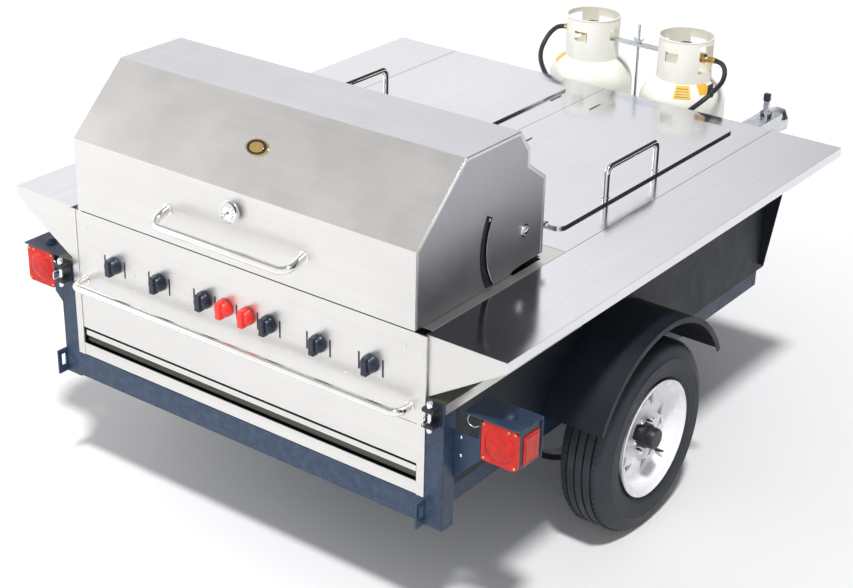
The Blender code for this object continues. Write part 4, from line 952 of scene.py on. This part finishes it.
def latch(side, sign):
    """The latch pin with its wire bail, and the two knuckles that hold it on the corner post."""
    x, y = 0.69, -0.024
    pin = turn(((0, 0.6665), (0.006, 0.6668), (0.0078, 0.669), (0.0078, 0.679), (0.007, 0.6835),
                (0.0054, 0.6838), (0.0054, 0.7402), (0.0088, 0.7404), (0.009, 0.752), (0.007, 0.757),
                (0, 0.7588)), "Z", (x, y, 0), 32)
    bail = arc_points((y - 0.024, 0.7185), 0.006, 90, 180, 5)
    bail += arc_points((y - 0.024, 0.7055), 0.006, 180, 270, 5)
    wire = [(x, y - 0.001, 0.7245), *[(x, b, c) for b, c in bail], (x, y - 0.001, 0.6995)]
    collar = ((0.0054, 0), (0.0074, 0), (0.0074, 0.003), (0.0054, 0.003))
    collars = [turn(collar, "Z", (x, y, z), 24) for z in (0.698, 0.723)]
    shape = merged(pin, sweep(wire, 0.0018, 14), *collars)
    name = f"latch_bail_{side}"
    add(f"{name}_skin", side_shape(sign, shape), "chrome", name, (name,))
    cover = [extrude(rounded((0.6675, 0.6795), (0.7125, 0.7425), 0.004), "Y", -0.0046, 0.0)]
    for z in (0.6836, 0.7296):
        cover.append(extrude(rounded((0.6715, y - 0.0125), (0.7085, -0.004), 0.005), "Z", z, z + 0.0108))
    knuckles = side_shape(sign, merged(*cover))
    piece = add(f"latch_knuckles_{side}", knuckles, "black_paint", "trailer", edge=0.0008)
    bore = turn(((0, 0.66), (0.0058, 0.66), (0.0058, 0.78), (0, 0.78)), "Z", (x, y, 0), 24)
    cut_away(piece, side_shape(sign, bore))


# ---- Tanks and hitch ----


def tank_shell(side, sign):
    """The cylinder with its foot ring, domed top and neck, as radii and heights above the foot."""
    profile = [(0, 0.034), (0.0965, 0.034), (0.0965, 0), (0.1, 0), (0.1015, 0.018), (0.104, 0.03)]
    profile += [(0.118, 0.038)] + arc_quarter(0.118, 0.1524, 0.038, 0.106, 8)
    profile += [(0.1524, 0.146), (0.1528, 0.147), (0.1528, 0.157), (0.1524, 0.158), (0.1524, 0.206)]
    for i in range(1, 13):
        angle = math.radians(90 * i / 12)
        profile.append((0.016 + 0.1364 * math.cos(angle), 0.206 + 0.11 * math.sin(angle)))
    profile += [(0.0125, 0.3165), (0.0125, 0.3), (0, 0.3)]
    shell = side_shape(sign, turn(profile, "Z", (TANK_X, TANK_Y, TANK_Z), 96))
    add(f"tank_{side}_skin", shell, "cream_paint", "trailer", (f"fuel_tank_{side}",), angle=32)


def tank_collar(side, sign):
    """The guard ring round the valve, with its rolled lip and its windows."""
    radius, low, high = 0.097, TANK_Z + 0.293, 1.108
    profile = (
        (radius, low), (radius, high), (radius + 0.0022, high + 0.0005), (radius + 0.0026, high + 0.002),
        (radius + 0.001, high + 0.003), (radius - 0.003, high + 0.003), (radius - 0.004, high),
        (radius - 0.0028, high - 0.002), (radius - 0.0028, low),
    )
    ring = side_shape(sign, turn(profile, "Z", (TANK_X, TANK_Y, 0), 96))
    collar = add(f"collar_{side}", ring, "cream_paint", "trailer", edge=0.0008)
    windows = [
        block((TANK_X - 0.15, TANK_Y - 0.032, 1.0295), (TANK_X, TANK_Y + 0.032, 1.075)),
        block((TANK_X - 0.032, TANK_Y, 1.0295), (TANK_X + 0.032, TANK_Y + 0.15, 1.075)),
        block((TANK_X - 0.03, TANK_Y - 0.15, 1.0295), (TANK_X + 0.02, TANK_Y, 1.065)),
        block((TANK_X, TANK_Y - 0.05, 0.995), (TANK_X + 0.15, TANK_Y + 0.05, 1.092)),
    ]
    cut_away(collar, side_shape(sign, merged(*windows)))


def tank_valve(side, sign):
    """The brass valve with its outlet, and a hand wheel with eight scallops on top."""
    centre = (TANK_X, TANK_Y, 0)
    stem = ((0, 0.972), (0.02, 0.972), (0.02, 0.985), (0.015, 0.988), (0.015, 1.000), (0.0175, 1.003),
            (0.0175, 1.05), (0.012, 1.054), (0.008, 1.056), (0.008, 1.064), (0.0045, 1.066), (0, 1.066))
    outlet = ((0, TANK_X), (0.013, TANK_X), (0.013, 0.224), (0.016, 0.226), (0.016, 0.242),
              (0.0125, 0.244), (0.0125, 0.25), (0.017, 0.252), (0.017, 0.27), (0.011, 0.276),
              (0.0095, 0.28), (0.0105, 0.282), (0.0105, 0.294), (0, 0.294))
    back = ((0, -0.028), (0.009, -0.028), (0.011, -0.02), (0.011, 0), (0, 0))
    valve = merged(turn(stem, "Z", centre, 32), turn(outlet, "X", (0, TANK_Y, 1.04), 32),
                   turn(back, "X", (TANK_X, TANK_Y, 1.03), 24))
    brass = side_shape(sign, valve)
    add(f"valve_{side}_skin", brass, "brass", "trailer", (f"tank_valve_{side}",), angle=30)
    grip = turn(((0, 1.0668), (0.006, 1.0668), (0.008, 1.07), (0.023, 1.07), (0.027, 1.068),
                 (0.0284, 1.073), (0.027, 1.0785), (0.0235, 1.0795), (0.0215, 1.076), (0.008, 1.0755),
                 (0.007, 1.0795), (0, 1.08)), "Z", centre, 64)
    for vert in grip.verts:
        across = Vector((vert.co.x - TANK_X, vert.co.y - TANK_Y))
        if across.length > 0.022:
            wave = 0.5 - 0.5 * math.cos(8 * math.atan2(across.y, across.x))
            shrink = 1 - 0.09 * wave
            vert.co.x = TANK_X + across.x * shrink
            vert.co.y = TANK_Y + across.y * shrink
    name = f"valve_handwheel_{side}"
    add(f"handwheel_{side}_skin", side_shape(sign, grip), "grey_plastic", name, (name,))


def arc_quarter(r0, r1, z0, z1, steps):
    """Points on a quarter ellipse that leaves (r0, z0) flat and reaches (r1, z1) upright."""
    points = []
    for i in range(1, steps + 1):
        angle = math.radians(90 * i / steps)
        points.append((r0 + (r1 - r0) * math.sin(angle), z1 - (z1 - z0) * math.cos(angle)))
    return points


def label_patch(name, centre, middle, half_angle, heights, look, lift=0.0004):
    """A label that follows the tank's shoulder between two heights, round an angle in degrees."""
    def dome(height):
        share = (height - TANK_Z - 0.206) / 0.11
        return 0.016 + 0.1364 * math.sqrt(max(0.0, 1 - share * share))

    shape = bmesh.new()
    rows = []
    steps = 14
    for height in np.linspace(*heights, 8):
        row = []
        for i in range(steps + 1):
            angle = math.radians(middle - half_angle + 2 * half_angle * i / steps)
            row.append(shape.verts.new((*around(centre, dome(height) + lift, angle), height + lift)))
        rows.append(row)
    for first, second in zip(rows, rows[1:]):
        for i in range(steps):
            shape.faces.new((first[i], first[i + 1], second[i + 1], second[i]))
    add(name, shape, look, "trailer")


def tank_fittings():
    for side, sign in SIDES:
        tank_shell(side, sign)
        tank_collar(side, sign)
        tank_valve(side, sign)
    label_patch("label_right_front", (TANK_X, TANK_Y), -62, 13, (0.918, 0.956), "yellow_label")
    label_patch("label_right_side", (TANK_X, TANK_Y), -22, 12, (0.93, 0.96), "yellow_label")
    label_patch("label_left_front", (-TANK_X, TANK_Y), -148, 12, (0.93, 0.962), "yellow_label")
    for i in range(4):
        low = 0.924 + 0.0075 * i
        label_patch(f"label_line_{i}", (TANK_X, TANK_Y), -62, 10, (low, low + 0.0022), "label_ink", 0.0009)
    wing_nut()
    tag = sweep([(0.3645, 2.018, 0.974), (0.37, 1.996, 0.964)], 0.0118, 20)
    flag = block((0.364, 1.986, 0.966), (0.3655, 2.024, 1.0000))
    add("hose_tag", merged(tag, flag), "grey_plastic", "trailer", edge=0.0004)
    for side, sign in SIDES:
        ferrules = []
        for start, end in (((0.29, 2.13, 1.04), (0.312, 2.1292, 1.04)),
                           ((0.069, 1.945, 0.808), (0.09, 1.945, 0.808))):
            ferrules.append(sweep([start, end], [0.0112, 0.0106], 24))
        add(f"ferrules_{side}", side_shape(sign, merged(*ferrules)), "brass", "trailer", edge=0.0006)


def wing_nut():
    boss = ((0.0052, 1.0408), (0.0105, 1.0408), (0.01, 1.045), (0.0085, 1.0525), (0.0052, 1.0525))
    pieces = [turn(boss, "Z", (0, TANK_Y, 0), 32)]
    for sign in (-1, 1):
        route = ((0.007, 1.044), (0.012, 1.048), (0.0165, 1.054), (0.0185, 1.059))
        wing = sweep(smooth_path([(sign * x, TANK_Y, z) for x, z in route], 4), 0.0035, 12)
        bmesh.ops.scale(wing, vec=(1, 0.55, 1), space=Matrix.Translation((0, -TANK_Y, 0)), verts=wing.verts)
        pieces.append(wing)
    add("wing_nut_skin", merged(*pieces), "zinc", "wing_nut", ("wing_nut",))


def hitch():
    refine("coupler", ["zinc"], 0.002, slot="zinc", segments=3)
    y, z = 3.242, 0.462
    lever = merged(
        extrude(rounded((-0.012, z - 0.007), (0.012, 0.522), 0.004), "Y", y - 0.0055, y + 0.0055),
        turn(((0, -0.021), (0.004, -0.021), (0.004, 0.021), (0, 0.021)), "X", (0, y, z), 20),
    )
    name = "coupler_latch"
    add(f"{name}_skin", lever, "zinc", name, (name,), 0.001)
    grip = extrude(rounded((-0.014, 0.514), (0.014, 0.548), 0.006), "Y", y - 0.0085, y + 0.0085)
    add(f"{name}_grip", grip, "black_plastic", name, edge=0.002, segments=3)
    bolts = []
    for place in (3.075, 3.12):
        for x, facing in ((0.0415, 1), (-0.0415, -1)):
            bolts.append(hex_nut((place, 0.405), 0.0085, *sorted((x, x + facing * 0.0065))))
    add("coupler_bolts", merged(*bolts), "chrome", "trailer", edge=0.0008)


# ---- Studio ----


def make_world():
    """A studio that is bright near the horizon, darker overhead and dark beyond the trailer's front right."""
    world = bpy.data.worlds.new("studio")
    world.use_nodes = True
    tree = world.node_tree
    place = tree.nodes.new("ShaderNodeTexCoord").outputs["Generated"]
    split = tree.nodes.new("ShaderNodeSeparateXYZ")
    tree.links.new(place, split.inputs["Vector"])
    ramp = tree.nodes.new("ShaderNodeValToRGB")
    stops = ((0.0, 1.00), (0.5, 1.05), (0.66, 0.56), (1.0, 0.36))
    while len(ramp.color_ramp.elements) < len(stops):
        ramp.color_ramp.elements.new(0.5)
    for element, (position, value) in zip(ramp.color_ramp.elements, stops):
        element.position = position
        element.color = (value, value, value * 1.01, 1)
    tree.links.new(split.outputs["Z"], ramp.inputs["Fac"])
    toward = tree.nodes.new("ShaderNodeVectorMath")
    toward.operation = "DOT_PRODUCT"
    toward.inputs[1].default_value = (0.76, 0.65, 0.0)
    tree.links.new(place, toward.inputs[0])
    dark = tree.nodes.new("ShaderNodeMapRange")
    dark.interpolation_type = "SMOOTHSTEP"
    for socket, value in (("From Min", 0.05), ("From Max", 0.7), ("To Min", 1.0), ("To Max", 0.04)):
        dark.inputs[socket].default_value = value
    tree.links.new(toward.outputs["Value"], dark.inputs["Value"])
    tree.links.new(ramp.outputs["Color"], tree.nodes["Background"].inputs["Color"])
    tree.links.new(dark.outputs["Result"], tree.nodes["Background"].inputs["Strength"])
    bpy.context.scene.world = world


def add_sun(toward, strength, angle):
    light = bpy.data.lights.new("key", "SUN")
    light.energy = strength
    light.angle = math.radians(angle)
    lamp = put("key", light)
    lamp.rotation_mode = "QUATERNION"
    lamp.rotation_quaternion = Vector(toward).to_track_quat("Z", "Y")


def add_light(name, place, target, size, power):
    light = bpy.data.lights.new(name, "AREA")
    light.size = size
    light.energy = power
    lamp = put(name, light)
    lamp.location = place
    lamp.rotation_mode = "QUATERNION"
    lamp.rotation_quaternion = (Vector(target) - Vector(place)).to_track_quat("-Z", "Y")


def studio():
    nodes = Nodes("floor_look")
    tone = nodes.mix(nodes.spread(nodes.noise(0.8), 0, 1), (0.86, 0.86, 0.87), (0.88, 0.88, 0.88))
    nodes.feed(tone, "Base Color")
    nodes.give("Roughness", 0.9)
    nodes.give("Specular IOR Level", 0.1)
    mesh = bpy.data.meshes.new("floor")
    size = 60
    corners = [(-size, -size, 0), (size, -size, 0), (size, size, 0), (-size, size, 0)]
    mesh.from_pydata(corners, [], [(0, 1, 2, 3)])
    mesh.materials.append(nodes.material)
    floor = put("floor", mesh)
    make_world()
    add_sun((0.25, -0.33, 0.91), 2.5, 6)
    add_light("fill", (-4.5, -4.0, 2.4), (0, -1.2, 0.5), 3.0, 50)
    bpy.context.scene.view_settings.view_transform = "Standard"


make_camera()
for hose in make_hoses().values():
    hose.data.materials.append(LOOKS["hose"])
sheet_metal()
hood_parts()
front_parts()
for side_name, side_sign in SIDES:
    lid(side_name, side_sign)
for side_name, side_sign in SIDES:
    wheel(side_name, side_sign)
    tail_lamp(side_name, side_sign)
    latch(side_name, side_sign)
tank_fittings()
hitch()
studio()
